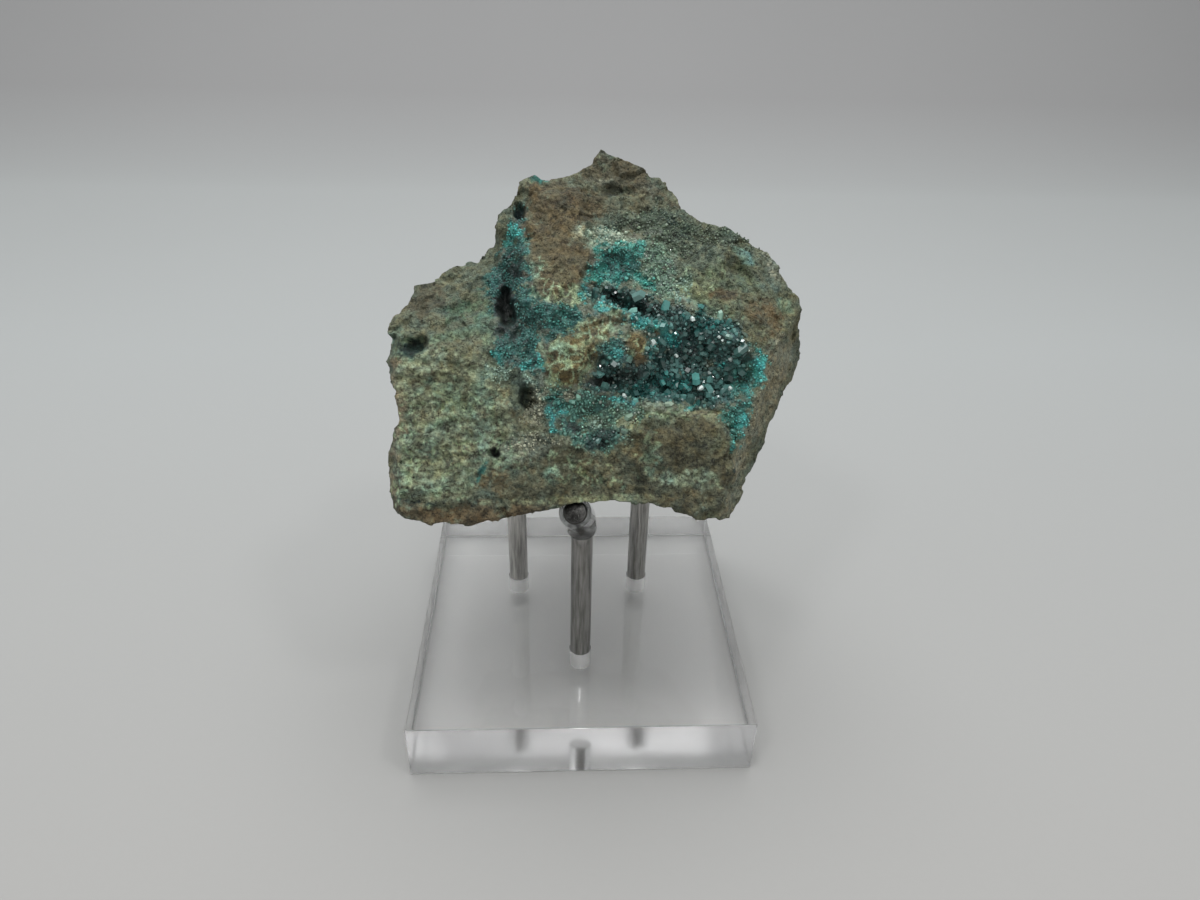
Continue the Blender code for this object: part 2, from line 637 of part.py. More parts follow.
def crystal_points(place, radius, length, blunt):
    """The base ring, the shoulders and the apex of a six-sided prism with a three-faced tip."""
    ring, shoulders = [], []
    for k in range(6):
        angle = math.radians(60 * k)
        x, y = radius * math.cos(angle), radius * math.sin(angle)
        drop = blunt * radius * (1 + k % 2)
        ring.append(place @ Vector((x, y, 0)))
        shoulders.append(place @ Vector((x, y, length - drop)))
    return [*ring, *shoulders, place @ Vector((0, 0, length))]


def clearance(points, rock_tree):
    """How far a crystal's corners and long edges stay clear of the rock under the crust."""
    ring, shoulders = points[:6], points[6:12]
    along = [low.lerp(high, share) for low, high in zip(ring, shoulders) for share in (0.25, 0.5, 0.75)]
    depths = []
    for point in points + along:
        nearest, normal, _, _ = rock_tree.find_nearest(point * MM)
        depths.append((point - nearest / MM).dot(normal))
    return min(depths)


def add_crystal(work, points):
    corners = [work.verts.new(p * MM) for p in points]
    ring, shoulders, apex = corners[:6], corners[6:12], corners[12]
    work.faces.new(ring[::-1])
    for k in range(6):
        work.faces.new((ring[k], ring[(k + 1) % 6], shoulders[(k + 1) % 6], shoulders[k]))
    for k in (1, 3, 5):
        work.faces.new((apex, shoulders[k - 1], shoulders[k], shoulders[(k + 1) % 6]))


def crystal_places():
    """Scattered (u, v, size) over the crust, clear of its edge, the largest in the open vug."""
    dice = random.Random(SEEDS["crystal_places"])
    low, high = CRYSTAL_FIELD
    chosen = []
    for _ in range(CRYSTAL_TRIES):
        u, v = dice.uniform(low[0], high[0]), dice.uniform(low[1], high[1])
        in_vug = math.dist((u, v), VUG_CENTRE) < VUG_REACH
        size = dice.uniform(*(VUG_CRYSTAL_SIZES if in_vug else CRYSTAL_SIZES))
        if all(math.dist((u, v), spot[:2]) > CRYSTAL_SPACING * (size + spot[2]) / 2 for spot in chosen):
            chosen.append((u, v, size))
    places = np.array(chosen)
    return places[in_crust(places[:, 0], places[:, 1]) > CRYSTAL_EDGE]


def build_crystals(rock):
    rock_tree = BVHTree.FromObject(rock, bpy.context.evaluated_depsgraph_get())
    dice = random.Random(SEEDS["crystals"])
    work = bmesh.new()
    places = crystal_places()
    roots = to_world(places[:, 0], places[:, 1], crust_top(places[:, 0], places[:, 1]))
    face = Matrix(np.stack([FACE_U, FACE_V, FACE_W], axis=1).tolist())
    for (_, _, size), root in zip(places, roots):
        around = dice.uniform(0, 2 * math.pi)
        lean = math.radians(dice.uniform(*CRYSTAL_TILTS))
        tilt = Matrix.Rotation(lean, 3, Vector((math.cos(around), math.sin(around), 0)))
        turn = face @ tilt @ Matrix.Rotation(dice.uniform(0, math.pi), 3, "Z")
        length = dice.uniform(*CRYSTAL_LENGTHS) * size
        shape = (CRYSTAL_GIRTH * size, length, dice.uniform(*CRYSTAL_BLUNTNESS))
        place = Matrix.Translation(Vector(root) - CRYSTAL_SINK * turn.col[2]) @ turn.to_4x4()
        points = crystal_points(place, *shape)
        if clearance(points, rock_tree) > CRYSTAL_CLEAR:
            add_crystal(work, points)
    mesh = bpy.data.meshes.new("crystals")
    work.to_mesh(mesh)
    work.free()
    return mesh


def build_block():
    work = bmesh.new()
    bmesh.ops.create_cube(work, size=1.0)
    bmesh.ops.scale(work, vec=Vector((BLOCK_SIDE, BLOCK_SIDE, BLOCK_HEIGHT)) * MM, verts=work.verts)
    bmesh.ops.translate(work, vec=(0, 0, BLOCK_HEIGHT / 2 * MM), verts=work.verts)
    bmesh.ops.bevel(work, geom=work.edges, offset=BLOCK_EDGE * MM, segments=1, affect="EDGES")
    mesh = bpy.data.meshes.new("acrylic_base")
    work.to_mesh(mesh)
    work.free()
    block = add_object("acrylic_base", mesh, "acrylic")
    for name, ((x, y), _) in RODS.items():
        work = bmesh.new()
        bmesh.ops.create_cone(
            work, cap_ends=True, segments=HOLE_SIDES, depth=2 * HOLE_DEPTH * MM,
            radius1=(ROD_RADIUS + GAP) * MM, radius2=(ROD_RADIUS + GAP) * MM,
        )
        bit_mesh = bpy.data.meshes.new("hole_" + name)
        work.to_mesh(bit_mesh)
        work.free()
        bit = add_object("hole_" + name, bit_mesh, None)
        bit.location = Vector((x, y, BLOCK_HEIGHT)) * MM
        boolean(block, "DIFFERENCE", bit)
    return block


def swept(name, middle, heading, outer, inner=0.0):
    """A round bar, or a tube with an inner radius, along a line in the plane of (outward, up)."""
    work = bmesh.new()
    loops = []
    for (out, up), angle in zip(middle, heading):
        row = []
        for radius in (outer, inner)[: 2 if inner else 1]:
            ring = []
            for k in range(ROD_SIDES):
                around = 2 * math.pi * (k + 0.5) / ROD_SIDES
                across, side = radius * math.cos(around), radius * math.sin(around)
                spot = Vector((out + across * math.cos(angle), side, up - across * math.sin(angle)))
                ring.append(work.verts.new(spot * MM))
            row.append(ring)
        loops.append(row)
    for before, after in zip(loops, loops[1:]):
        for ring_before, ring_after in zip(before, after):
            for k in range(ROD_SIDES):
                n = (k + 1) % ROD_SIDES
                work.faces.new((ring_before[k], ring_before[n], ring_after[n], ring_after[k]))
    for row in (loops[0], loops[-1]):
        if not inner:
            work.faces.new(row[0])
            continue
        for k in range(ROD_SIDES):
            n = (k + 1) % ROD_SIDES
            work.faces.new((row[0][k], row[0][n], row[1][n], row[1][k]))
    bmesh.ops.recalc_face_normals(work, faces=work.faces)
    mesh = bpy.data.meshes.new(name)
    work.to_mesh(mesh)
    work.free()
    mesh.shade_smooth()
    mesh.set_sharp_from_angle(angle=SMOOTH_ANGLE)
    return mesh


def sleeve_path():
    """The part of the rod's line that the sleeve covers, a little past the rod's end."""
    middle, heading = rod_path()
    out, up = middle[-1]
    past = SLEEVE_LIP
    end = (out + past * math.sin(ROD_BEND), up + past * math.cos(ROD_BEND))
    on_bend = ROD_BEND * ROD_BEND_RADIUS
    lead = SLEEVE_LENGTH - ROD_END - on_bend
    first = 2
    if lead > 0:
        return [(0.0, ROD_STRAIGHT - lead), *middle[first:-1], end], [0.0, *heading[first:]]
    skipped = math.ceil(-lead / on_bend * ROD_BEND_STEPS)
    return [*middle[first + skipped : -1], end], heading[first + skipped :]


def build_rods():
    middle, heading = rod_path()
    for name, (place, turn) in RODS.items():
        stand = bpy.data.objects.new("stand_" + name, None)
        bpy.context.scene.collection.objects.link(stand)
        stand.location = Vector((*place, BLOCK_HEIGHT)) * MM
        stand.rotation_euler.z = math.radians(turn)
        rod = add_object("peg_" + name, swept("peg_" + name, middle, heading, ROD_RADIUS), "aluminium")
        rod.parent = stand
        tube = swept("sleeve_" + name, *sleeve_path(), SLEEVE_RADIUS, SLEEVE_RADIUS - SLEEVE_WALL)
        sleeve = add_object("sleeve_" + name, tube, "vinyl")
        sleeve.parent = stand


def main():
    clear_scene()
    build_block()
    build_rods()
    rim = ragged_rim()
    front = front_net(rim)
    rock = build_rock(rim, front)
    build_crust(front, rock)


main()
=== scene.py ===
"""A rough dioptase specimen resting on a small bent-rod stand.

The lump of brown and green rock, the crust of dioptase in its hollow, the soft sleeves, the rods and the
clear block are each made by an operator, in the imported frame's own place. Numbers are millimetres unless
a property says otherwise, and MM turns them into metres. A place on the rock's open face is (u, v), and w
stands out of it.
"""

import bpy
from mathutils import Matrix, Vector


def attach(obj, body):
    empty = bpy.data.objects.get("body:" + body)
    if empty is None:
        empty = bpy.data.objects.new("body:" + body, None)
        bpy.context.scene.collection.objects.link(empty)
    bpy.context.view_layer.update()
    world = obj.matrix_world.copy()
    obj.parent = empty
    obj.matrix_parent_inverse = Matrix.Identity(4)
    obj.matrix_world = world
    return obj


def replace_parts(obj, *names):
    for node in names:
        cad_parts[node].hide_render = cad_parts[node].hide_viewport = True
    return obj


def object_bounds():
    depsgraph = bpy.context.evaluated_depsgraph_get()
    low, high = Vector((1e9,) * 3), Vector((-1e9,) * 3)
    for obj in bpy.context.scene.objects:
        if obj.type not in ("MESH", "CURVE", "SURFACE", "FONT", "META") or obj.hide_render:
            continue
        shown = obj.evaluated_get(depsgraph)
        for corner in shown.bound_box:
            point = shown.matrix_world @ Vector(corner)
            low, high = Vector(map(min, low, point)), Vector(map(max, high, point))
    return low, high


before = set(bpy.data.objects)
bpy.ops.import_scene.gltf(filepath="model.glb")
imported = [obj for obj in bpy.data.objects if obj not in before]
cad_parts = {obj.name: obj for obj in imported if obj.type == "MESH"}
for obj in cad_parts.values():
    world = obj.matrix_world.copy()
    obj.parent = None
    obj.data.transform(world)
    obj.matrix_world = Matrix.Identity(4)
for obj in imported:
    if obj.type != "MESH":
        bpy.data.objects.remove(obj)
CAD_BOX = [list(corner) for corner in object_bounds()]

import functools
import math
import random

import bmesh
import bpy
import numpy as np
from bpy.props import FloatProperty, FloatVectorProperty, IntProperty, PointerProperty
from mathutils import Matrix, Vector
from mathutils.geometry import delaunay_2d_cdt

bl_info = {
    "name": "Dioptase specimen on a stand",
    "version": (1, 0, 0),
    "blender": (4, 5, 0),
    "location": "View3D > Sidebar > Specimen",
    "description": "Builds a rough dioptase specimen, its bent-rod stand and a plain stage",
    "category": "Object",
}

MM = 0.001
GAP = 0.3

# The clear block
BLOCK_SIDE = 50.8
BLOCK_HEIGHT = 9.525
HOLE_DEPTH = 5.7

# The bent rods: straight up, an arc outwards, and a short straight end
ROD_RADIUS = 3.175 / 2
ROD_STRAIGHT = 20.75
ROD_BEND_RADIUS = 10.5
ROD_BEND = math.radians(50)
ROD_END = 5.75
ROD_BEND_STEPS = 5
# Where the bend begins in a rod's middle line: after its foot and the point half way up
BEND_START = 2
SLEEVE_RADIUS = 2.15
SLEEVE_LIP = 0.15

# Where each rod stands on the block, and the direction in which its end leans
RODS = {
    "front": ((0.0, -9.5), -98.8),
    "rear_left": ((-10.4, 8.5), 140.7),
    "rear_right": ((10.3, 8.4), 39.1),
}

# The rock's face leans back from the vertical. A place on it is (u, v) to the right and up along the face,
# and w stands out from it.
LEAN = math.radians(32)
FACE_ORIGIN = np.array([0.0, -10.0, 62.0])
FACE_U = np.array([1.0, 0.0, 0.0])
FACE_V = np.array([0.0, math.sin(LEAN), math.cos(LEAN)])
FACE_W = np.array([0.0, -math.cos(LEAN), math.sin(LEAN)])

# The rock's outline as (u, v), clockwise from the peak
OUTLINE = [
    (2.4, 28.2), (4.2, 27.0), (6.5, 25.9), (8.3, 25.0), (9.3, 24.0), (10.3, 23.7), (11.3, 22.3), (12.6, 20.9),
    (12.8, 19.3), (13.9, 18.3), (16.2, 17.2), (19.1, 16.8), (21.7, 15.3), (24.0, 13.9), (25.2, 13.4),
    (26.1, 11.9), (26.8, 9.8), (28.4, 7.6), (29.1, 5.1), (29.0, 3.6), (31.0, 0.9), (30.4, -1.1), (29.4, -3.1),
    (27.5, -4.9), (26.4, -7.3), (25.3, -9.6), (24.7, -11.8), (23.6, -14.0), (21.8, -16.6), (21.3, -18.4),
    (20.2, -20.5), (19.2, -21.9), (16.1, -21.8), (13.2, -21.3), (10.7, -20.2), (8.0, -19.6), (4.0, -19.3),
    (-1.5, -19.6), (-6.0, -20.7), (-10.7, -21.4), (-14.8, -22.4), (-20.3, -22.0), (-23.0, -21.4),
    (-25.0, -20.4), (-25.5, -18.1), (-25.3, -16.0), (-25.7, -13.7), (-24.7, -11.9), (-23.4, -8.5),
    (-23.9, -5.5), (-24.7, -3.5), (-25.4, -0.7), (-25.2, 2.4), (-24.4, 4.3), (-22.9, 6.1), (-22.1, 8.7),
    (-19.7, 9.4), (-18.7, 10.8), (-17.5, 11.7), (-13.9, 12.5), (-12.9, 13.9), (-12.0, 14.8), (-11.3, 18.3),
    (-9.7, 20.0), (-8.5, 22.8), (-6.7, 24.2), (-5.1, 23.3), (-1.3, 24.3), (1.0, 25.9),
]
# Where the open face breaks into the right-hand side, bottom to top, and into the left-hand side
RIDGE = [
    (17.3, -21.8), (18.0, -18.5), (18.7, -13.2), (20.2, -9.7), (21.2, -6.2), (23.2, -1.2), (26.2, 2.4),
    (28.8, 6.0),
]
RIGHT_FALL = 1.35
LEFT_EDGE = -23.6
LEFT_EDGE_TOP = 2.0
LEFT_FALL = 2.0
# The broad planes of the open face, each w = level + u * across + v * up
LOWER_FACE = (0.5, 0.0, 0.12)
UPPER_FACE = (1.0, 0.0, -0.34)
SHOULDER_FACE = (1.7, 0.10, -0.60)
CORNER_FACE = (5.26, -0.28, -0.30)
SEAM_FOOT = -7.75
SEAM_SLOPE = -0.25
SEAM_WIDTH = 2.0

# Lumps and hollows of the open face: (u, v, half width, half height, turn, rise, squareness, edge)
FORMS = {
    "tongue": (-3.2, 12.6, 4.6, 10.4, 4, 1.1, 4, 0.30),
    "fissure": (-9.6, 11.5, 1.5, 9.0, 4, -2.2, 2, 0.7),
    "crevice": (-10.2, 5.4, 1.3, 3.8, 8, -4.0, 2, 0.6),
    "fissure_eye": (-8.6, 18.9, 1.0, 1.5, 10, -2.2, 2, 0.6),
    "left_pocket": (-7.3, 1.6, 3.6, 4.6, 20, -1.6, 2, 0.8),
    "upper_pocket": (4.2, 10.6, 3.7, 4.4, -10, -1.7, 2, 0.7),
    "upper_basin": (9.4, 10.0, 4.0, 6.0, 25, -0.8, 2, 0.8),
    "dark_cleft": (5.0, 6.3, 5.6, 1.3, -26, -3.4, 2, 0.7),
    "cleft_lip": (7.0, 3.7, 5.4, 0.7, -27, 0.9, 2, 0.7),
    "main_vug": (14.6, -2.4, 8.6, 5.6, -14, -3.6, 2.4, 0.45),
    "vug_floor": (6.0, -4.4, 5.2, 2.3, -6, -2.4, 2, 0.6),
    "black_pit": (2.7, -4.3, 2.3, 1.0, -8, -1.4, 2, 0.7),
    "island": (-1.6, -0.6, 3.1, 4.5, -38, 1.6, 2.4, 0.5),
    "small_island": (6.7, 0.0, 1.5, 2.2, 10, 1.5, 2, 0.6),
    "side_pit": (-7.4, -6.2, 1.3, 2.1, 8, -3.2, 2, 0.6),
    "lower_druse": (0.6, -8.8, 5.2, 3.6, -20, -1.6, 2, 0.7),
    "dark_tip": (1.9, -12.2, 1.6, 1.3, 0, -1.4, 2, 0.8),
    "block": (12.8, -15.2, 6.4, 6.3, 3, 1.3, 5, 0.22),
    "ledge": (-2.6, -11.9, 3.2, 0.8, -14, 0.8, 2, 0.6),
    "ridge_band": (20.9, -5.5, 1.5, 6.6, -20, -1.0, 2, 0.6),
    "small_hole": (-11.7, -13.2, 0.9, 0.8, 0, -2.2, 2, 0.6),
    "corner_hole": (-21.6, 0.5, 2.0, 1.5, 10, -2.4, 2, 0.7),
    "shoulder_dip": (-15.4, 5.0, 3.6, 2.6, 20, -1.1, 2, 0.8),
    "crown_dip": (4.8, 21.9, 2.6, 1.2, -15, -1.2, 2, 0.7),
    "corner_dip": (20.6, 11.0, 3.6, 1.8, -35, -1.0, 2, 0.8),
    "corner_lump": (20.5, 5.0, 3.6, 2.2, -30, 0.9, 2, 0.7),
}
FORM_RAGGED = 0.16
FORM_RAGGED_SIZE = 1.7
# The open face's flat chips, its grain, and the long streaks of its left-hand part, each (size, height)
FRONT_CHIPS = (3.6, 0.62)
FRONT_GRAIN = (1.9, 0.28)
FRONT_STREAKS = (1.6, 0.3)
STREAK_STRETCH = (0.45, 1.5, 1.0)
STREAK_EDGE = -5.0
STREAK_FADE = 3.0
CHIP_JITTER = 0.42

# The crystal crust's outline on the face, and the two bare islands in it
CRUST = [
    (-8.3, 20.3), (-7.3, 18.2), (-7.7, 14.8), (-6.9, 11.0), (-6.5, 7.5), (-3.1, 5.1), (-1.3, 4.6), (0.3, 9.4),
    (0.7, 13.7), (2.7, 14.9), (6.6, 17.6), (10.5, 16.7), (12.2, 13.0), (12.0, 8.0), (16.8, 4.9), (19.8, 1.9),
    (22.4, -0.7), (22.0, -4.1), (20.6, -7.9), (19.0, -13.0), (17.8, -9.6), (15.6, -8.3), (12.9, -8.8),
    (8.0, -8.0), (5.6, -9.8), (4.3, -12.0), (2.1, -13.1), (-0.5, -11.6), (-4.2, -10.4), (-5.7, -5.7),
    (-6.0, -3.2), (-8.7, -2.8), (-11.8, -1.6), (-11.6, 1.7), (-12.0, 5.8), (-12.4, 9.3), (-11.9, 12.0),
    (-10.6, 14.6), (-9.9, 18.6),
]
BARE_ISLANDS = [
    [(-4.6, 0.4), (-1.6, 3.3), (1.0, 4.0), (3.0, 2.6), (1.1, -1.7), (-0.8, -4.2), (-3.4, -4.6), (-4.9, -2.8)],
    [(5.6, 1.7), (7.5, 1.9), (8.2, 0.0), (7.2, -1.7), (5.5, -1.1)],
]
CRUST_BED = 0.9
CRUST_FADE = 0.9

# The rock's broken back, as flat sides: (direction round Z, tilt up, distance from BODY_CENTRE)
BODY_CENTRE = np.array([2.0, -1.0, 61.0])
BODY_SIDES = {
    "rear": (91, 5, 18.0),
    "rear_top": (84, 40, 21.5),
    "rear_left": (141, 6, 26.0),
    "rear_right": (41, 8, 24.0),
    "left": (184, 2, 27.0),
    "left_low": (195, -36, 27.0),
    "right": (4, -8, 28.5),
    "right_low": (18, -44, 27.0),
    "rear_low": (96, -52, 26.5),
    "top_left": (152, 46, 24.0),
    "top_right": (38, 50, 24.5),
}
# The underside is level round the rods and hangs lower in two lobes at the front
SIDE_LOBE_DROP = 2.2
SIDE_LOBE_GAP = 5.0
SIDE_LOBE_FADE = 6.0
SIDE_LOBE_MIDDLE = -0.5
SIDE_LOBE_BACK = -6.0
SIDE_LOBE_LENGTH = 13.0
ROD_SEAT = 3.6
ROD_SEAT_FADE = 3.0
DEEPEST_HOLLOW_BELOW = 0.2
RIM_THICKNESS = 1.1
RIM_WIDTH = 5.0
RIM_GROWTH = 1.2
RIM_TAPER = 5.0
BACK_CHIPS = (6.5, 1.1)
BACK_GRAIN = (3.0, 0.45)
BACK_ROUGH_FADE = 3.0
# The sides behind the rim, each along an edge of the outline: (from, to, w at the rim, steepness)
BACK_EDGES = [
    ((-6.7, 24.5), (2.4, 28.6), -9.0, 1.7),
    ((2.4, 28.6), (25.8, 13.8), -8.0, 1.6),
    ((25.8, 13.8), (30.5, 4.0), -7.5, 2.6),
    ((30.5, 4.0), (30.8, -1.0), -12.5, 2.6),
    ((30.8, -1.0), (19.5, -22.0), -9.5, 2.4),
    ((-25.4, -20.5), (-25.8, 2.0), -5.0, 4.5),
    ((-25.8, 2.0), (-22.4, 9.2), -5.0, 4.6),
    ((-22.4, 9.2), (-6.7, 24.5), -7.0, 3.0),
]
HEART = (2.0, -1.0, -15.0)
MARCH_STEP = 0.3
MARCH_REACH = 48.0
SCATTER = 0.27
SCATTER_CLEAR = 0.72

SMOOTH_ANGLE = math.radians(35)
# Starting numbers for everything that is scattered, so that each build is the same
SEEDS = {
    "form_edges": 11, "streaks": 21, "front_chips": 31, "front_grain": 41, "back_chips": 51, "back_grain": 61,
    "face_net": 71, "rear_net": 72, "relief": 101, "rim_shift": (201, 202), "patches": (301, 331, 361),
    "lace": 381, "mottles": 401, "lightness": 441, "warmth": 471, "back_patches": 501, "back_specks": 521,
    "knobs": 601, "knob_gaps": 602, "warp": (621, 651),
}
SEED_STEP = 10
HASH_STEPS = (374761393, 668265263, 362437)
HASH_SEED = 974711
HASH_MIX = 1274126177

# How finely the rock is made, before its triangles are split
FINE_STEP = 0.85
FINE_RIM_STEP = 0.9
FINE_BACK_STEP = 1.8
WALL_ROWS = 4
RIM_RAGGED = 0.22
RIM_RAGGED_SIZE = 0.9
RIM_RAGGED_WIDTH = 0.8
BOX_MARGIN = 0.01

# Where one colour passes into the next
ZONE_EDGE = 2.2
BLOB_EDGE = 0.9
ZONE_SPECKLE = 0.85
PATCH_BLUR = 0.35
MOTTLE_BLUR = 0.9
MOTTLE_MIX = 0.15
MOTTLE_SHARE = 0.35
LIGHT_LIMITS = (0.3, 2.0)
WARM_TINT = (0.16, 0.0, -0.16)
COLOUR_GAIN = 1.15
STREAKED_STRETCH = (0.7, 1.0, 1.25)
# The broken sides and back: (colour, patch size, level of noise above which it shows)
BACK_COLOURS = [
    ("grey_olive", 6.0, 0.05), ("tan_dark", 4.5, 0.2), ("sage", 5.0, 0.5), ("dark_brown", 2.4, 0.45),
    ("block_brown", 1.6, 0.4),
]
# The specks among its patches: (how many times smaller, strength)
BACK_SPECKS = (3, 0.5)

# The crust's skin and its knobs
CRUST_TUCK = 0.05
CRUST_DEPTH = 0.5
DRUSE_FADE = 0.5
KNOB_HEIGHT = 0.22
KNOB_SIZE = 0.8
KNOB_GAP = 0.5
# Knobs show where a colour's relief is at least this, and in full a little above it
KNOBS_FROM = 0.9
KNOBS_RANGE = 0.3

# Where crystals are tried on the face, which places have any, and how far their sizes vary
CRYSTAL_SPAN_U = (-13, 25)
CRYSTAL_SPAN_V = (-14, 22)
CRYSTALS_FROM = 0.12
SIZE_SPREAD = (-0.12, 0.42)
SIZE_LIMITS = (0.22, 1.25)
# A crystal's form as shares of its size: half width, height, how deep it is rooted; and how blunt its tip is
CRYSTAL_GIRTH = (0.7, 1.1)
CRYSTAL_LENGTH = (0.45, 1.25)
CRYSTAL_ROOT = 0.35
CRYSTAL_TIP = (0.5, 0.85)
SLOPE_STEP = 0.25
STEEPEST = 1.2
# How much their lightness varies: for all, and more for the shiny ones
TONE_SPREAD = (0.3, 0.16)
TONE_SHIFT = -0.03
# The strength of their colour, and how much less the shiny ones have
CRYSTAL_COLOUR = (0.95, 0.2)
# Crystals at least this large a share of the full size are clear and shiny, and of the small ones a few are
SHINY_FROM = 0.42
SHINY_RANGE = 0.25
FEW_SHINY = 0.03
# Of the shiny crystals, a share is coloured near white as a painted glint, for facets that throw back the
# light like small mirrors
PAINTED_GLINT_SHARE = 0.09
PAINTED_GLINT_FROM = 0.8
PAINTED_GLINT_SIZES = (0.4, 0.9)
PAINTED_GLINT_COLOUR = (212, 226, 222)
# Of the small ones in the speckled places, those that are white
WHITE_SHARE = 0.09
WHITE_FROM = 0.33
WHITE_COLOUR = (160, 174, 162)
# The pattern of thin pale lines: (size, how wide the lines are), and how solid they look
LACE = ((1.25, 0.24), (0.62, 0.2))
LACE_STRENGTH = 1.5

# How finely the stand is drawn
FINE_BLOCK_EDGE = 0.16
BLOCK_EDGE_STEPS = 3
FINE_HOLE_SIDES = 64
HOLE_CLEARANCE = 0.12
# How the block's faces are told apart: the upright part of their direction, and the outer sides' depth
UPRIGHT = 0.5
LEVEL = 0.97
SIDE_DEPTH = 1.0
# The block's polished faces and its sawn sides: (share of the light let through, least and most roughness)
POLISHED = (0.99, 0.0, 0.03)
SAWN = (0.74, 0.19, 0.24)
ROD_TIP_TONE = 0.09
# Painted shade on the part of a rod that its sleeve covers, and painted light and shade that make each rod
# lighter or darker
ROD_SLEEVE_SHADE = 0.6
ROD_LIGHT_AND_SHADE = {"front": 0.78, "rear_left": 1.4, "rear_right": 1.05}
VISIBLE_SLEEVE = 11.6
# A rod's rounded end: (distance back from the tip, how far the side draws in)
ROD_END_PROFILE = [(0.3, 0.0), (0.12, 0.05), (0.03, 0.15), (0.0, 0.28)]

# The stage, in millimetres. A light is (place, aim, side), and the camera's turn is (down, right, roll).
FLOOR_GAP = 0.1
# Painted light: the floor beneath the clear block is made this much lighter, standing for light that comes
# through the block
PAINTED_LIGHT_UNDER_BLOCK = 0.7
# Painted shade: the floor passes from its darker near colour to its far colour between the first two
# distances, and into the darker wall colour between the next two
FLOOR_NEAR = -160.0
FLOOR_FAR = 120.0
WALL_NEAR = 290.0
WALL_FAR = 400.0
SWEEP_FRONT = 2500.0
SWEEP_BACK = 300.0
SWEEP_CURVE = 220.0
SWEEP_HEIGHT = 700.0
SWEEP_WIDTH = 2500.0
SWEEP_STEPS = 24
SOFTBOX = ((-20.0, 130.0, 700.0), (-10.0, 90.0, 0.0), 720.0)
SMALL_LAMPS = [
    ((-190.0, -260.0, 430.0), (0.0, 0.0, 60.0), 60.0),
    ((210.0, -180.0, 460.0), (0.0, 0.0, 60.0), 60.0),
    ((20.0, -330.0, 380.0), (0.0, 0.0, 60.0), 60.0),
    ((-60.0, -60.0, 520.0), (0.0, 0.0, 60.0), 60.0),
]
GLOSSY_BOUNCES = 12
AMBIENT_COLOUR = (0.97, 1.0, 1.0, 1.0)
CAMERA_PLACE = (-3.516, -108.224, 108.345)
CAMERA_TURN = (31.978, 3.334, 1.688)
CAMERA_NEAREST = 5.0
CAMERA_LENS = 25.64
SENSOR_WIDTH = 36.0

# The rock's colours as seen in even light: (colour, colour of its mottling, relief, crystal size), in sRGB
# from 0 to 255
PALETTE = {
    "grey_olive": ((109, 112, 91), (76, 84, 70), 0.8, 0.0),
    "brown_grey": ((90, 86, 68), (63, 63, 50), 0.8, 0.0),
    "side_grey": ((137, 136, 114), (111, 109, 90), 0.7, 0.0),
    "green": ((95, 120, 96), (73, 85, 68), 0.7, 0.0),
    "sage": ((120, 143, 119), (72, 83, 67), 0.9, 0.0),
    "mint": ((119, 140, 121), (96, 112, 98), 0.7, 0.0),
    "pale_green": ((158, 173, 143), (79, 80, 64), 1.2, 0.0),
    "ochre_brown": ((108, 108, 82), (80, 85, 66), 0.9, 0.0),
    "teal_grey": ((82, 104, 92), (94, 89, 73), 1.1, 0.0),
    "tan": ((119, 113, 86), (77, 73, 53), 0.9, 0.0),
    "cream": ((146, 159, 135), (102, 108, 87), 1.2, 0.0),
    "tan_dark": ((140, 133, 109), (96, 91, 76), 0.7, 0.0),
    "dark_brown": ((103, 90, 66), (59, 54, 41), 0.8, 0.0),
    "blue_black": ((34, 59, 56), (19, 30, 28), 1.0, 0.0),
    "rust_brown": ((110, 97, 68), (70, 66, 52), 0.9, 0.0),
    "teal": ((66, 131, 121), (40, 71, 63), 1.2, 0.26),
    "black": ((31, 42, 36), (22, 26, 25), 0.8, 0.0),
    "speckle_grey": ((148, 150, 126), (47, 50, 43), 1.3, 0.0),
    "tan_olive": ((101, 99, 78), (63, 65, 50), 0.8, 0.0),
    "pink_grey": ((150, 152, 131), (74, 78, 67), 1.3, 0.3),
    "off_white": ((145, 172, 157), (88, 110, 95), 1.3, 0.34),
    "deep_teal": ((58, 113, 106), (33, 55, 52), 1.2, 0.24),
    "vug_teal": ((44, 104, 100), (32, 64, 61), 1.1, 0.75),
    "lace": ((165, 188, 154), (121, 136, 107), 1.3, 0.0),
    "island_brown": ((114, 108, 76), (78, 71, 50), 1.1, 0.0),
    "pit_grey": ((100, 116, 102), (58, 71, 65), 1.2, 0.0),
    "cyan": ((76, 173, 167), (53, 119, 117), 1.2, 0.24),
    "brown": ((105, 98, 74), (72, 66, 50), 0.7, 0.0),
    "black_olive": ((65, 65, 48), (49, 49, 37), 0.8, 0.0),
    "dark_green": ((89, 103, 85), (53, 60, 52), 1.3, 0.3),
    "cream_white": ((162, 164, 138), (122, 121, 97), 1.2, 0.0),
    "pale_mint": ((164, 177, 157), (101, 128, 114), 1.2, 0.34),
    "grey_mint": ((120, 150, 129), (60, 80, 71), 1.3, 0.36),
    "bright_teal": ((66, 157, 145), (46, 98, 94), 1.2, 0.3),
    "yellow_olive": ((114, 126, 99), (85, 94, 76), 1.0, 0.0),
    "pale_cyan": ((108, 137, 125), (85, 108, 96), 0.6, 0.0),
    "rust": ((103, 90, 65), (75, 75, 60), 0.9, 0.0),
    "vug": ((71, 107, 103), (42, 64, 61), 1.0, 1.0),
    "black_green": ((59, 86, 82), (40, 49, 50), 1.0, 0.7),
    "ochre": ((156, 166, 131), (82, 77, 59), 1.2, 0.0),
    "teal_speckle": ((95, 146, 132), (37, 60, 55), 1.3, 0.4),
    "block_brown": ((98, 95, 71), (61, 61, 48), 0.7, 0.0),
}

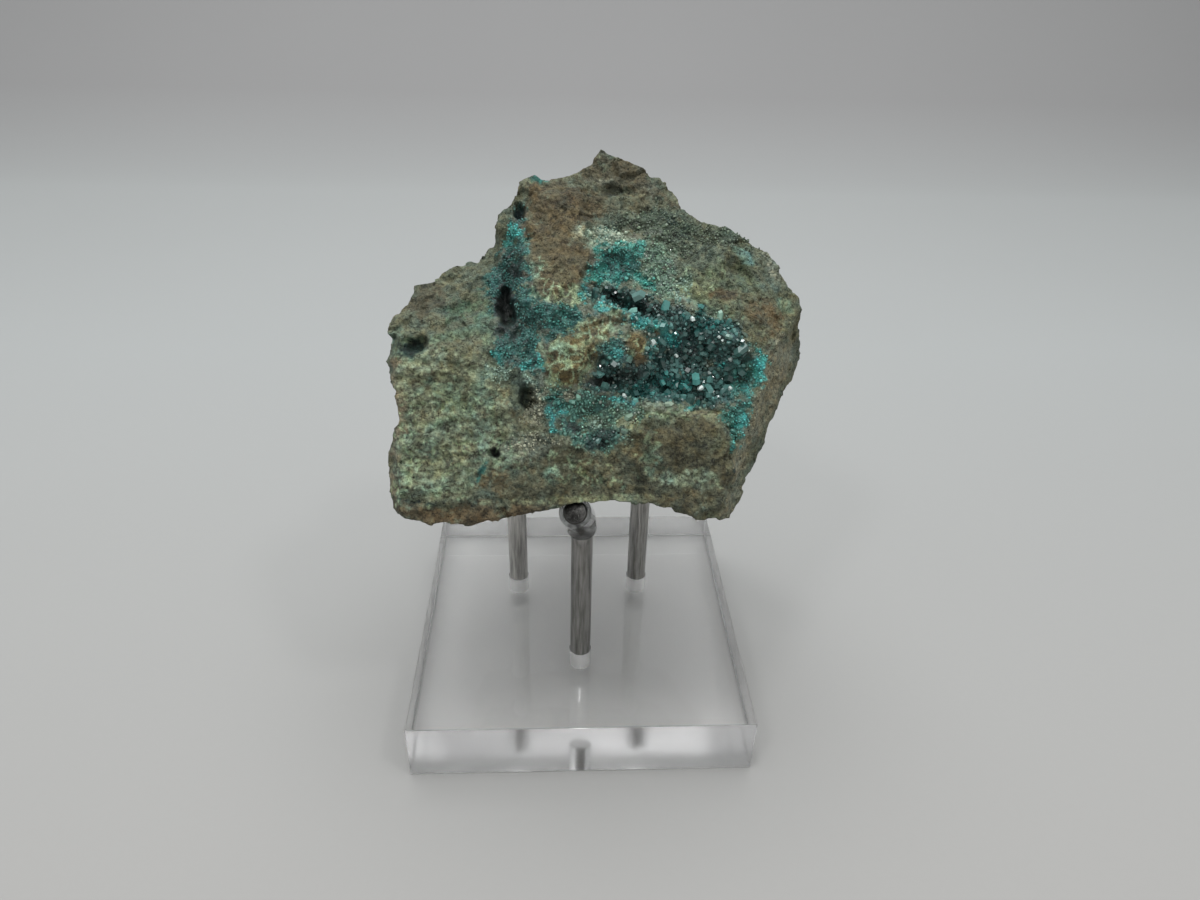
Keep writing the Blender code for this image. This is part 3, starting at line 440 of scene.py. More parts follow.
# Zones of colour on the open face: (colour, strength, place). A place is an outline or (u, v, half width,
# half height, turn), and later zones lie over earlier ones.
ZONES = [
    # The shoulder
    ("grey_olive", 0.9, (-17.4, 7.2, 8.1, 5.4, 0)),
    ("brown_grey", 0.7, (-21.3, 7.3, 3.1, 3.1, 0)),
    ("green", 0.75, (-14.1, 5.4, 3.5, 2.3, 10)),
    ("sage", 0.8, (-14.6, 2.2, 5.0, 0.8, 12)),
    ("sage", 0.7, (-11.9, 1.9, 1.3, 2.3, 0)),
    ("mint", 0.7, (-23.7, 1.5, 1.1, 1.7, 0)),
    # The lower left
    ("pale_green", 0.85, [
        (-24.1, -1.0), (-18.5, -0.1), (-14.8, 0.3), (-11.6, -2.1), (-9.4, -5.7), (-9.8, -9.8),
        (-5.0, -10.9), (-6.5, -14.2), (-11.0, -16.1), (-15.1, -18.7), (-20.7, -19.8), (-24.2, -19.1),
        (-24.4, -13.8), (-23.4, -10.1), (-23.7, -5.7),
    ]),
    ("ochre_brown", 0.5, (-16.0, -1.4, 2.3, 1.7, 0)),
    # Painted shade: a faint darker patch at the top of the lower left, below the shoulder
    ("brown_grey", 0.25, (-20.0, -4.3, 3.1, 1.7, 0)),
    ("sage", 0.7, (-16.0, -5.7, 5.0, 2.3, -6)),
    ("teal_grey", 0.6, (-18.0, -13.5, 4.2, 1.5, -4)),
    ("tan", 0.5, (-11.6, -7.2, 2.1, 1.7, 0)),
    ("cream", 0.5, (-19.4, -8.7, 4.2, 0.5, -8)),
    ("cream", 0.45, (-17.7, -16.1, 5.0, 0.5, -3)),
    # The left side and the bottom edge
    ("tan_dark", 0.9, [
        (-24.8, -1.4), (-23.4, -1.8), (-23.6, -5.7), (-22.7, -8.7), (-23.4, -11.6), (-24.2, -13.8),
        (-24.1, -19.1), (-25.1, -19.0), (-25.0, -9.4),
    ]),
    ("dark_brown", 0.85, [
        (-24.5, -19.1), (-18.5, -20.0), (-11.8, -19.7), (-6.5, -19.2), (-3.5, -19.2), (-6.5, -21.8),
        (-16.3, -23.1), (-25.2, -21.3),
    ]),
    ("blue_black", 0.7, (-21.4, -19.4, 3.3, 0.3, -9)),
    ("rust_brown", 0.7, (-11.7, -16.8, 2.5, 1.7, 35)),
    # Between the lower left and the middle
    ("teal", 0.7, (-13.0, -15.3, 0.4, 1.9, -28)),
    ("black", 0.9, (-11.5, -13.1, 0.7, 0.6, 0)),
    ("speckle_grey", 0.7, (-7.2, -13.1, 3.8, 2.3, 0)),
    ("pink_grey", 0.6, (-6.6, -11.9, 3.4, 1.5, -4)),
    ("teal", 0.5, (-8.3, -10.9, 0.9, 0.7, 0)),
    ("tan_olive", 0.85, [
        (-3.5, -12.4), (2.5, -13.5), (6.2, -12.4), (7.8, -18.4), (2.5, -19.4), (-6.5, -19.2),
        (-10.6, -17.6), (-8.0, -14.6),
    ]),
    ("sage", 0.4, (-1.3, -16.5, 5.8, 1.2, 0)),
    ("pink_grey", 0.75, (-6.5, -6.8, 1.5, 3.1, -20)),
    ("off_white", 0.65, (-10.3, -3.3, 2.3, 1.2, 0)),
    ("off_white", 0.6, (-7.2, -3.5, 1.9, 1.5, 0)),
    ("pit_grey", 0.9, (-8.4, -5.5, 1.3, 2.7, 8)),
    # The teal stripe and the crevice on the left
    ("deep_teal", 0.95, [
        (-8.9, 20.3), (-7.6, 19.7), (-7.5, 16.5), (-7.0, 13.6), (-7.2, 8.7), (-5.4, 6.3), (-1.3, 4.7),
        (0.4, 4.0), (-1.7, 1.6), (-5.0, 1.6), (-7.2, -1.7), (-9.0, -2.1), (-10.8, -1.7), (-11.7, 0.1),
        (-10.8, 1.9), (-11.5, 3.7), (-12.5, 7.1), (-12.9, 10.7), (-11.2, 12.7), (-10.0, 14.8), (-9.6, 17.8),
    ]),
    ("teal", 0.7, (-3.5, 4.5, 2.7, 1.7, -15)),
    ("teal", 0.7, (-7.3, 10.3, 0.7, 4.2, 4)),
    ("deep_teal", 0.65, (-8.6, 3.8, 2.3, 2.7, 0)),
    # Painted shade: a darker halo along the fissure, below the cyan patch
    ("blue_black", 0.5, (-9.2, 11.8, 1.7, 2.8, 5)),
    ("blue_black", 0.7, (-10.1, 4.9, 1.5, 4.0, -4)),
    ("cyan", 0.9, (-9.2, 15.9, 1.1, 1.5, -20)),
    ("cyan", 0.6, (-7.1, 11.5, 0.3, 3.5, 2)),
    ("blue_black", 0.95, (-8.7, 18.6, 0.8, 1.0, -25)),
    ("black", 1.0, (-10.4, 5.9, 1.0, 3.2, 2)),
    ("blue_black", 0.8, (-9.0, 2.3, 1.4, 1.7, 20)),
    ("cyan", 0.8, (-11.1, -0.9, 0.7, 1.0, 15)),
    ("cyan", 0.6, (-6.5, -1.9, 1.5, 0.5, 15)),
    # The brown tongue and the top
    ("brown", 0.95, [
        (-7.8, 22.5), (-3.5, 23.2), (1.2, 22.7), (5.1, 20.1), (1.2, 17.5), (-1.2, 16.2), (-1.6, 14.5),
        (1.1, 13.7), (0.9, 10.8), (-0.7, 8.7), (-0.7, 7.1), (-3.1, 6.3), (-5.4, 6.5), (-6.9, 7.7),
        (-7.1, 13.6), (-7.7, 16.5),
    ]),
    ("rust_brown", 0.6, (-0.4, 17.4, 1.7, 0.8, 0)),
    ("tan", 0.45, (-3.5, 10.3, 2.7, 2.3, 0)),
    ("dark_brown", 0.55, (-3.5, 20.4, 3.5, 1.3, 0)),
    ("lace", 0.85, (-3.5, 6.9, 4.4, 1.3, -8)),
    ("lace", 0.6, (-6.0, 9.5, 1.2, 3.5, 5)),
    ("brown_grey", 0.9, [
        (-6.6, 23.4), (-1.9, 23.5), (2.5, 28.5), (9.2, 24.6), (13.0, 19.3), (10.6, 19.7), (6.7, 21.0),
        (1.2, 22.2), (-3.5, 22.6),
    ]),
    ("pink_grey", 0.4, (2.4, 23.3, 1.5, 0.6, 30)),
    ("teal", 0.8, (-6.4, 23.4, 1.2, 0.8, 0)),
    ("black_olive", 0.85, (4.4, 21.8, 3.1, 0.8, 0)),
    ("tan_olive", 0.7, (5.9, 19.7, 4.2, 1.2, 0)),
    ("pink_grey", 0.5, (8.3, 21.5, 1.2, 1.2, 0)),
    # The druse at the upper right
    ("dark_green", 0.85, [
        (3.1, 17.9), (6.6, 18.4), (9.9, 20.6), (12.5, 18.5), (18.3, 16.5), (19.9, 14.5), (18.1, 12.7),
        (13.7, 12.1), (11.1, 12.5), (8.8, 14.6), (6.5, 15.4), (3.9, 16.2),
    ]),
    ("dark_green", 0.8, (20.7, 15.0, 2.7, 1.3, -25)),
    ("cream_white", 0.9, (-0.4, 15.4, 1.5, 0.8, 0)),
    ("pale_mint", 0.9, [
        (-0.4, 16.2), (2.7, 16.0), (5.8, 15.8), (7.7, 14.4), (5.3, 13.7), (2.6, 13.7), (0.9, 13.9),
        (-0.0, 14.9),
    ]),
    ("grey_mint", 0.85, [
        (7.3, 15.0), (10.4, 14.6), (11.8, 11.7), (12.0, 7.2), (10.4, 5.6), (8.2, 7.2), (6.0, 8.8),
        (6.4, 12.1),
    ]),
    # The teal patch at the top of the hollow
    ("bright_teal", 0.95, [
        (1.1, 13.7), (3.8, 14.1), (7.3, 14.0), (7.4, 11.7), (6.0, 9.6), (4.0, 8.0), (1.4, 7.5), (0.1, 7.9),
        (0.7, 10.0), (1.5, 11.6),
    ]),
    ("deep_teal", 0.8, (4.7, 11.5, 2.2, 2.0, 20)),
    ("blue_black", 0.5, (5.0, 11.0, 0.9, 0.8, 0)),
    ("bright_teal", 0.8, (7.6, 9.2, 1.4, 0.9, -30)),
    ("bright_teal", 0.8, (0.7, 9.3, 0.8, 1.5, 0)),
    ("off_white", 0.75, (3.1, 8.6, 1.2, 0.8, 0)),
    ("brown", 0.9, (0.9, 8.1, 0.8, 0.7, 25)),
    # The right-hand corner
    ("yellow_olive", 0.85, [
        (12.5, 11.3), (17.7, 12.2), (21.8, 12.1), (23.2, 8.5), (20.0, 5.1), (16.0, 4.1), (13.4, 5.6),
        (12.0, 8.4),
    ]),
    ("grey_olive", 0.6, [
        (14.3, 14.7), (19.0, 14.0), (21.7, 10.9), (19.5, 9.1), (15.2, 10.9),
    ]),
    ("off_white", 0.7, [
        (11.7, 9.7), (13.6, 9.7), (14.3, 8.1), (13.4, 6.0), (11.5, 5.6), (10.8, 7.2),
    ]),
    ("pale_cyan", 0.75, (21.2, 12.9, 2.2, 0.7, -27)),
    ("pink_grey", 0.7, (25.3, 11.6, 0.8, 1.9, 25)),
    ("ochre_brown", 0.85, [
        (15.8, 8.5), (19.9, 9.1), (23.2, 8.5), (27.7, 7.2), (28.0, 4.7), (26.4, 1.4), (23.0, 0.5),
        (21.0, 0.8), (20.4, 3.9), (17.7, 5.8),
    ]),
    ("rust", 0.92, (23.3, 4.5, 2.7, 2.3, 10)),
    ("dark_brown", 0.75, (19.0, 7.2, 2.9, 0.8, -4)),
    ("sage", 0.7, (26.8, 5.9, 1.3, 1.2, 0)),
    ("sage", 0.7, (17.2, 4.9, 3.5, 1.1, -12)),
    ("teal_grey", 0.5, (24.2, 0.5, 0.5, 2.3, -42)),
    # The hollow
    ("vug", 0.97, [
        (0.3, 7.7), (2.5, 7.8), (6.3, 7.4), (10.0, 6.0), (12.3, 5.6), (14.9, 4.9), (19.9, 3.3), (20.1, 0.8),
        (22.9, -1.1), (22.3, -4.2), (20.8, -5.7), (18.6, -7.5), (14.8, -6.8), (11.4, -7.4), (8.4, -7.0),
        (6.2, -6.6), (3.5, -5.9), (0.2, -5.0), (-0.6, -3.5), (1.7, -0.9), (4.6, 0.2), (8.0, 1.7),
        (5.4, 3.6), (2.5, 5.6), (0.2, 6.3),
    ]),
    ("vug_teal", 0.75, (9.9, -4.6, 4.6, 1.5, 10)),
    ("teal", 0.6, (20.7, -3.1, 1.7, 3.1, -10)),
    ("vug_teal", 0.6, (14.1, 4.1, 4.6, 1.2, -20)),
    ("black_green", 0.9, (5.5, 6.6, 4.8, 1.0, -22)),
    ("black_green", 0.7, (10.3, 4.8, 2.5, 1.2, -20)),
    ("black_green", 0.5, (14.3, -0.5, 2.7, 2.3, 0)),
    ("black", 0.95, (2.4, -4.0, 2.7, 0.8, 4)),
    ("black_green", 0.85, (5.8, -3.1, 2.3, 1.2, 0)),
    ("cyan", 0.9, [
        (-0.5, 7.7), (0.4, 6.3), (2.5, 6.0), (5.5, 5.4), (7.3, 4.0), (9.9, 3.1), (10.6, 2.1), (9.4, 1.5),
        (7.3, 2.8), (4.7, 4.0), (2.1, 4.8), (0.2, 5.5), (-1.1, 7.1),
    ]),
    ("cyan", 0.9, (11.1, 1.5, 1.1, 0.6, -20)),
    # The bare islands in the hollow
    ("deep_teal", 0.9, [
        (1.3, 0.5), (2.8, 1.6), (4.6, 2.0), (5.7, 0.9), (5.4, -1.7), (4.3, -2.0), (2.4, -1.7), (1.3, -0.9),
    ]),
    ("cyan", 0.75, (4.1, -0.7, 1.2, 0.8, 0)),
    ("cyan", 0.6, (8.3, -0.5, 0.4, 1.7, -15)),
    ("deep_teal", 0.85, [
        (-7.5, -1.5), (-7.0, 2.0), (-3.5, 2.5), (-0.5, 4.5), (0.6, 4.2), (-0.9, 2.3), (-3.6, 1.2),
        (-5.2, 0.3), (-5.6, -2.0), (-6.3, -3.2),
    ]),
    ("cyan", 0.75, (-5.6, -0.9, 0.5, 1.5, 10)),
    ("island_brown", 0.95, [
        (-5.3, -0.2), (-3.5, 0.9), (-1.3, 1.6), (0.2, 3.0), (1.7, 4.0), (2.5, 4.8), (4.7, 4.6), (4.7, 3.0),
        (2.8, 1.6), (1.3, 0.2), (1.1, -2.0), (-1.3, -4.6), (-3.1, -4.8), (-5.4, -3.9), (-5.0, -2.1),
    ]),
    ("ochre", 0.6, (-0.2, 0.2, 2.3, 0.7, 38)),
    ("rust_brown", 0.8, (-3.7, -1.1, 1.2, 1.0, 10)),
    ("dark_brown", 0.85, (-4.3, -3.8, 1.2, 0.9, -20)),
    ("rust", 0.6, (1.4, 2.0, 0.5, 1.1, -35)),
    ("ochre_brown", 0.6, (0.0, -2.8, 1.2, 1.3, -35)),
    ("lace", 0.95, [
        (-5.5, -0.2), (-3.5, 1.1), (-1.3, 1.8), (0.2, 3.2), (1.7, 4.2), (2.5, 5.0), (4.9, 4.7), (4.9, 3.0),
        (3.0, 1.6), (1.4, 0.2), (1.2, -2.0), (-1.2, -4.8), (-3.1, -5.0), (-5.6, -4.0), (-5.2, -2.1),
    ]),
    ("island_brown", 0.9, (6.3, 0.2, 1.3, 1.6, 0)),
    ("lace", 0.85, (6.3, 0.4, 1.4, 1.7, 0)),
    ("rust_brown", 0.9, (6.7, -1.5, 1.1, 0.7, 0)),
    ("rust", 0.75, (9.0, 2.1, 0.6, 0.5, 0)),
    # The druse below the hollow
    ("teal_speckle", 0.95, [
        (-5.4, -5.0), (-1.7, -5.0), (0.9, -5.7), (4.7, -6.4), (7.7, -6.8), (8.0, -8.3), (6.9, -10.1),
        (4.7, -11.3), (2.5, -12.8), (1.0, -12.8), (-0.5, -11.6), (-3.1, -10.9), (-4.3, -9.4), (-5.0, -6.8),
    ]),
    ("grey_mint", 0.75, (3.9, -9.0, 3.5, 1.4, 14)),
    ("pink_grey", 0.5, (0.0, -7.9, 0.8, 0.8, 0)),
    ("ochre", 0.55, (5.8, -9.8, 1.9, 1.1, 15)),
    ("teal", 0.7, (-3.5, -6.8, 1.9, 1.5, 0)),
    ("blue_black", 0.85, (1.7, -12.2, 1.8, 0.9, 10)),
    ("cyan", 0.9, (3.6, -6.3, 1.5, 0.4, -10)),
    ("cyan", 0.85, (5.8, -6.8, 0.6, 0.5, 0)),
    ("cyan", 0.9, (-3.0, -8.0, 0.7, 0.3, 0)),
    ("cyan", 0.7, (-3.9, -10.3, 0.8, 0.3, 10)),
    ("cyan", 0.8, (14.0, -7.2, 1.7, 0.3, 22)),
    ("cyan", 0.7, (18.1, -2.0, 0.6, 0.7, 0)),
    ("cyan", 0.6, (21.2, -5.9, 0.7, 2.3, -15)),
    # The ledge and the block at the lower right
    ("cream", 0.95, [
        (8.0, -7.1), (9.5, -7.0), (10.3, -7.8), (12.7, -8.0), (12.9, -9.1), (10.3, -9.7), (8.2, -8.8),
    ]),
    ("lace", 0.95, (10.6, -8.3, 3.2, 1.1, -6)),
    ("ochre", 0.85, (15.6, -8.3, 2.1, 0.6, 4)),
    ("block_brown", 0.95, [
        (7.7, -9.2), (9.9, -9.4), (12.9, -9.2), (14.8, -8.8), (17.1, -9.8), (18.8, -10.7), (18.8, -16.2),
        (18.3, -20.4), (14.7, -21.5), (11.6, -20.3), (8.6, -19.4), (6.3, -18.4), (5.1, -14.3), (6.2, -11.3),
    ]),
    ("black_olive", 0.7, (12.3, -13.1, 3.1, 2.1, 0)),
    ("pale_green", 0.75, (13.1, -16.4, 4.2, 1.2, -2)),
    ("pale_green", 0.6, (15.0, -17.5, 2.7, 0.5, 0)),
    ("sage", 0.5, (8.5, -13.9, 1.5, 2.7, 0)),
    ("rust_brown", 0.6, (12.7, -18.8, 1.7, 1.0, 30)),
    ("ochre_brown", 0.5, (17.2, -11.6, 1.5, 1.5, 0)),
    ("tan", 0.45, (4.0, -17.3, 3.1, 1.5, 0)),
    # The right-hand side and its ridge
    ("side_grey", 0.97, [
        (23.2, -1.1), (21.2, -6.6), (19.1, -13.0), (18.3, -21.9), (19.3, -22.3), (20.4, -18.5),
        (22.1, -13.2), (25.7, -5.7), (29.5, -0.9), (29.0, 2.7), (26.9, 2.0), (24.6, 0.5),
    ]),
    ("teal", 0.95, [
        (21.2, -1.5), (23.0, -1.3), (22.3, -4.2), (21.2, -6.4), (20.3, -9.4), (19.5, -12.4), (18.9, -12.8),
        (18.3, -9.8), (16.7, -8.7), (17.8, -7.5), (20.4, -6.0), (21.5, -3.8),
    ]),
    ("cyan", 0.8, [
        (22.4, -0.7), (23.4, -1.0), (22.7, -4.3), (21.6, -6.8), (20.8, -9.4), (20.0, -12.4), (19.2, -12.4),
        (19.9, -9.2), (20.9, -6.2), (21.9, -4.0),
    ]),
    ("blue_black", 0.6, (19.1, -15.6, 0.4, 0.5, 0)),
    # Spots and lines over the rest
    ("ochre", 0.6, (0.2, -19.1, 10.0, 0.5, 2)),
    ("sage", 0.75, (-22.3, 0.1, 2.2, 1.9, 0)),
    ("blue_black", 0.85, (-21.8, 0.2, 1.7, 1.2, 10)),
    ("lace", 0.45, (15.0, 8.9, 3.0, 2.3, 0)),
    ("lace", 0.5, [
        (-24.1, -6.0), (-17.5, -5.1), (-12.0, -6.0), (-9.8, -9.8), (-8.0, -15.0), (-15.1, -18.7),
        (-20.7, -19.8), (-24.2, -19.1),
    ]),
    ("lace", 0.35, (0.5, -15.8, 6.0, 2.5, 0)),
    ("black_green", 0.6, (2.6, -10.9, 2.0, 1.3, 15)),
    ("blue_black", 0.55, (-1.9, -9.6, 1.5, 0.8, -20)),
    ("off_white", 0.7, (1.2, -9.4, 1.1, 0.8, 20)),
    ("pink_grey", 0.7, (-2.2, -6.0, 1.1, 0.7, 10)),
    ("cyan", 0.75, (-4.4, -8.6, 0.7, 1.4, 8)),
]


def smooth_step(t):
    t = np.clip(t, 0.0, 1.0)
    return t * t * (3 - 2 * t)


def lattice(cell, seed):
    """A repeatable random number from -1 to 1 for each whole-numbered cell."""
    mixed = sum(cell[..., k] * HASH_STEPS[k] for k in range(3)) + seed * HASH_SEED
    mixed = mixed & 0xFFFFFFFF
    mixed = ((mixed ^ (mixed >> 13)) * HASH_MIX) & 0xFFFFFFFF
    return ((mixed ^ (mixed >> 16)) & 0xFFFF) / 32767.5 - 1


def grain(points, size, seed):
    """Smooth noise from -1 to 1, with lumps of the given size."""
    scaled = np.asarray(points) / size
    cell = np.floor(scaled).astype(np.int64)
    blend = smooth_step(scaled - cell)
    total = 0.0
    for corner in np.ndindex(2, 2, 2):
        weight = np.prod(np.where(corner, blend, 1 - blend), axis=-1)
        total = total + weight * lattice(cell + np.array(corner), seed)
    return total


def chips(points, size, seed):
    """Flat broken facets: each cell of a jittered grid tilts its own way."""
    scaled = np.asarray(points) / size
    home = np.floor(scaled).astype(np.int64)
    nearest = np.full(scaled.shape[:-1], np.inf)
    value = np.zeros(scaled.shape[:-1])
    for shift in np.ndindex(3, 3, 3):
        cell = home + np.array(shift) - 1
        jitter = np.stack([lattice(cell, seed + k) for k in (1, 2, 3)], axis=-1)
        tilt = np.stack([lattice(cell, seed + k) for k in (4, 5, 6)], axis=-1)
        offset = scaled - (cell + 0.5 + CHIP_JITTER * jitter)
        distance = (offset**2).sum(axis=-1)
        closer = distance < nearest
        nearest = np.where(closer, distance, nearest)
        value = np.where(closer, (offset * tilt).sum(axis=-1), value)
    return value


def flat(u, v):
    return np.stack([u, v, np.zeros_like(u)], axis=-1)


def plane(face, u, v):
    level, across, up = face
    return level + across * u + up * v


def within_oval(oval, u, v):
    """How far each place lies from an oval's middle along its two half widths, 1 at their ends."""
    centre_u, centre_v, half_u, half_v, turn = oval
    turn = math.radians(turn)
    du = (u - centre_u) * math.cos(turn) + (v - centre_v) * math.sin(turn)
    dv = (v - centre_v) * math.cos(turn) - (u - centre_u) * math.sin(turn)
    return du / half_u, dv / half_v


def form_height(form, u, v):
    """A lump or a hollow with a ragged edge."""
    *oval, rise, squareness, edge = form
    along, across = within_oval(oval, u, v)
    reach = (np.abs(along) ** squareness + np.abs(across) ** squareness) ** (1 / squareness)
    reach = reach + FORM_RAGGED * grain(flat(u, v), FORM_RAGGED_SIZE, SEEDS["form_edges"])
    return rise * smooth_step((1 - reach) / edge)


def broad_face(u, v):
    """The open face without its lumps and hollows: planes that meet at blunt edges."""
    lower = plane(LOWER_FACE, u, v)
    beside_seam = smooth_step((u - SEAM_FOOT - SEAM_SLOPE * v) / SEAM_WIDTH + 0.5)
    right_part = np.minimum(np.minimum(lower, plane(UPPER_FACE, u, v)), plane(CORNER_FACE, u, v))
    left_part = np.minimum(lower, plane(SHOULDER_FACE, u, v))
    level = right_part * beside_seam + left_part * (1 - beside_seam)
    ridge_v = [point[1] for point in RIDGE]
    ridge_u = [point[0] for point in RIDGE]
    past_ridge = np.maximum(u - np.interp(v, ridge_v, ridge_u), 0) * (v < RIDGE[-1][1])
    past_left = np.maximum(LEFT_EDGE - u, 0) * (v < LEFT_EDGE_TOP)
    return level - RIGHT_FALL * past_ridge - LEFT_FALL * past_left


def front_level(u, v):
    level = broad_face(u, v)
    for form in FORMS.values():
        level = level + form_height(form, u, v)
    place = flat(u, v)
    size, height = FRONT_STREAKS
    streaks = height * grain(place * STREAK_STRETCH, size, SEEDS["streaks"])
    level = level + streaks * smooth_step((STREAK_EDGE - u) / STREAK_FADE)
    size, height = FRONT_CHIPS
    level = level + height * chips(place, size, SEEDS["front_chips"])
    size, height = FRONT_GRAIN
    return level + height * grain(place, size, SEEDS["front_grain"])


def to_world(u, v, w):
    return FACE_ORIGIN + u[..., None] * FACE_U + v[..., None] * FACE_V + w[..., None] * FACE_W


def rod_path(steps=ROD_BEND_STEPS):
    """A rod's middle line from the block's top as (outward, up), and its direction at each point."""
    middle = [(0.0, -HOLE_DEPTH + GAP), (0.0, ROD_STRAIGHT / 2)]
    heading = [0.0, 0.0]
    for step in range(steps + 1):
        angle = ROD_BEND * step / steps
        out = ROD_BEND_RADIUS * (1 - math.cos(angle))
        middle.append((out, ROD_STRAIGHT + ROD_BEND_RADIUS * math.sin(angle)))
        heading.append(angle)
    out, up = middle[-1]
    middle.append((out + ROD_END * math.sin(ROD_BEND), up + ROD_END * math.cos(ROD_BEND)))
    heading.append(ROD_BEND)
    return middle, heading


def rod_tip(name):
    """The middle of a rod's end in the world, and the height that its sleeve reaches."""
    (x, y), heading = RODS[name]
    out, up = rod_path()[0][-1]
    turn = math.radians(heading)
    reach = SLEEVE_RADIUS * math.sin(ROD_BEND)
    return np.array([x + out * math.cos(turn), y + out * math.sin(turn), BLOCK_HEIGHT + up + reach])


def underside(points):
    """The height of the rock's underside: level where the rods hold it, lower in two lobes at the front."""
    level = rod_tip("front")[2] + GAP
    x, y = points[..., 0], points[..., 1]
    beside = smooth_step((np.abs(x - SIDE_LOBE_MIDDLE) - SIDE_LOBE_GAP) / SIDE_LOBE_FADE)
    return level - SIDE_LOBE_DROP * beside * np.clip((SIDE_LOBE_BACK - y) / SIDE_LOBE_LENGTH, 0, 1)


def near_rods(points):
    """0 where a rod holds the rock, rising to 1 a few millimetres away."""
    far = np.ones(points.shape[:-1])
    for name in RODS:
        tip = rod_tip(name)
        away = np.hypot(points[..., 0] - tip[0], points[..., 1] - tip[1])
        far = np.minimum(far, smooth_step((away - ROD_SEAT) / ROD_SEAT_FADE))
    return far


def inside_body(points):
    """How deep a point lies inside the rock's broken sides, negative outside."""
    relative = points - BODY_CENTRE
    depth = np.full(points.shape[:-1], np.inf)
    for turn, tilt, distance in BODY_SIDES.values():
        turn, tilt = math.radians(turn), math.radians(tilt)
        level = math.cos(tilt)
        normal = np.array([level * math.cos(turn), level * math.sin(turn), math.sin(tilt)])
        depth = np.minimum(depth, distance - relative @ normal)
    on_face = points - FACE_ORIGIN
    u, v, w = on_face @ FACE_U, on_face @ FACE_V, on_face @ FACE_W
    for (u0, v0), (u1, v1), rim_level, taper in BACK_EDGES:
        length = math.dist((u0, v0), (u1, v1))
        inwards = ((u - u0) * (v1 - v0) - (v - v0) * (u1 - u0)) / length
        depth = np.minimum(depth, (inwards * taper - (rim_level - w)) / math.hypot(1, taper))
    within = np.where(inside_loop(OUTLINE, u, v), 1, -1) * loop_distance(OUTLINE, u, v)
    behind_face = broad_face(u, v) - RIM_THICKNESS - w
    depth = np.minimum(depth, (within * RIM_TAPER - behind_face) / math.hypot(1, RIM_TAPER))
    rough = BACK_CHIPS[1] * chips(points, BACK_CHIPS[0], SEEDS["back_chips"])
    rough = rough + BACK_GRAIN[1] * grain(points, BACK_GRAIN[0], SEEDS["back_grain"])
    rough = rough * smooth_step(np.minimum(within, behind_face) / BACK_ROUGH_FADE)
    below = points[..., 2] - underside(points)
    below = below + np.maximum(rough * near_rods(points), -DEEPEST_HOLLOW_BELOW)
    depth = np.minimum(depth + rough, below)
    skin = RIM_GROWTH * np.clip(within, 0, RIM_WIDTH) - behind_face
    return np.where(within > 0, np.maximum(depth, skin), depth)


def outline_ahead(u, v):
    """The outline's point straight out from the heart through each (u, v), and the share of the way there."""
    loop = np.array(OUTLINE)
    turns = np.arctan2(loop[:, 1] - HEART[1], loop[:, 0] - HEART[0])
    order = np.argsort(turns)
    reach = np.hypot(loop[:, 0] - HEART[0], loop[:, 1] - HEART[1])[order]
    turn = np.arctan2(v - HEART[1], u - HEART[0])
    limit = np.interp(turn, turns[order], reach, period=2 * math.pi)
    out = np.hypot(u - HEART[0], v - HEART[1])
    return HEART[0] + limit * np.cos(turn), HEART[1] + limit * np.sin(turn), np.clip(out / limit, 0, 1)


def back_points(u, v):
    """The rock's back: rays from its heart, from the rim's own direction round to straight behind."""
    heart = to_world(*(np.array(c, float) for c in HEART))
    rim_u, rim_v, share = outline_ahead(u, v)
    to_rim = to_world(rim_u, rim_v, broad_face(rim_u, rim_v) - RIM_THICKNESS) - heart
    to_rim /= np.linalg.norm(to_rim, axis=-1, keepdims=True)
    sweep = np.arccos(np.clip(-to_rim @ FACE_W, -1, 1))
    aside = to_rim + (to_rim @ -FACE_W)[:, None] * FACE_W
    aside /= np.linalg.norm(aside, axis=-1, keepdims=True)
    angle = (share * sweep)[:, None]
    direction = np.sin(angle) * aside - np.cos(angle) * FACE_W
    steps = np.arange(0, MARCH_REACH, MARCH_STEP)
    depth = inside_body(heart + direction[:, None, :] * steps[None, :, None])
    outside = depth < 0
    outside[:, -1] = True
    first = np.maximum(outside.argmax(axis=1), 1)
    rows = np.arange(len(u))
    last_in = depth[rows, first - 1]
    reach = steps[first - 1] + MARCH_STEP * last_in / np.maximum(last_in - depth[rows, first], 1e-6)
    return heart + direction * reach[:, None]


def evenly(loop, step, closed=True):
    """Points at about equal steps along a line of straight pieces, with the corners kept."""
    ends = list(zip(loop, loop[1:] + loop[:1] if closed else loop[1:]))
    points = []
    for start, end in ends:
        count = max(1, round(math.dist(start, end) / step))
        for k in range(count):
            points.append(tuple(a + (b - a) * k / count for a, b in zip(start, end)))
    return points if closed else points + [loop[-1]]


def inside_loop(loop, u, v):
    """Whether each point is inside a closed loop."""
    inside = np.zeros(u.shape, bool)
    for (u0, v0), (u1, v1) in zip(loop, loop[1:] + loop[:1]):
        crosses = (v0 > v) != (v1 > v)
        with np.errstate(divide="ignore", invalid="ignore"):
            where = (u1 - u0) * (v - v0) / (v1 - v0) + u0
        inside ^= crosses & (u < where)
    return inside


def loop_distance(loop, u, v):
    """The distance to the nearest point of a closed loop."""
    nearest = np.full(u.shape, np.inf)
    for (u0, v0), (u1, v1) in zip(loop, loop[1:] + loop[:1]):
        length = (u1 - u0) ** 2 + (v1 - v0) ** 2
        along = np.clip(((u - u0) * (u1 - u0) + (v - v0) * (v1 - v0)) / length, 0, 1)
        nearest = np.minimum(nearest, np.hypot(u - u0 - along * (u1 - u0), v - v0 - along * (v1 - v0)))
    return nearest


def in_crust(u, v):
    """How far a point lies inside the crust's outline, negative outside it."""
    covered = inside_loop(CRUST, u, v)
    distance = loop_distance(CRUST, u, v)
    for island in BARE_ISLANDS:
        covered &= ~inside_loop(island, u, v)
        distance = np.minimum(distance, loop_distance(island, u, v))
    return np.where(covered, distance, -distance)


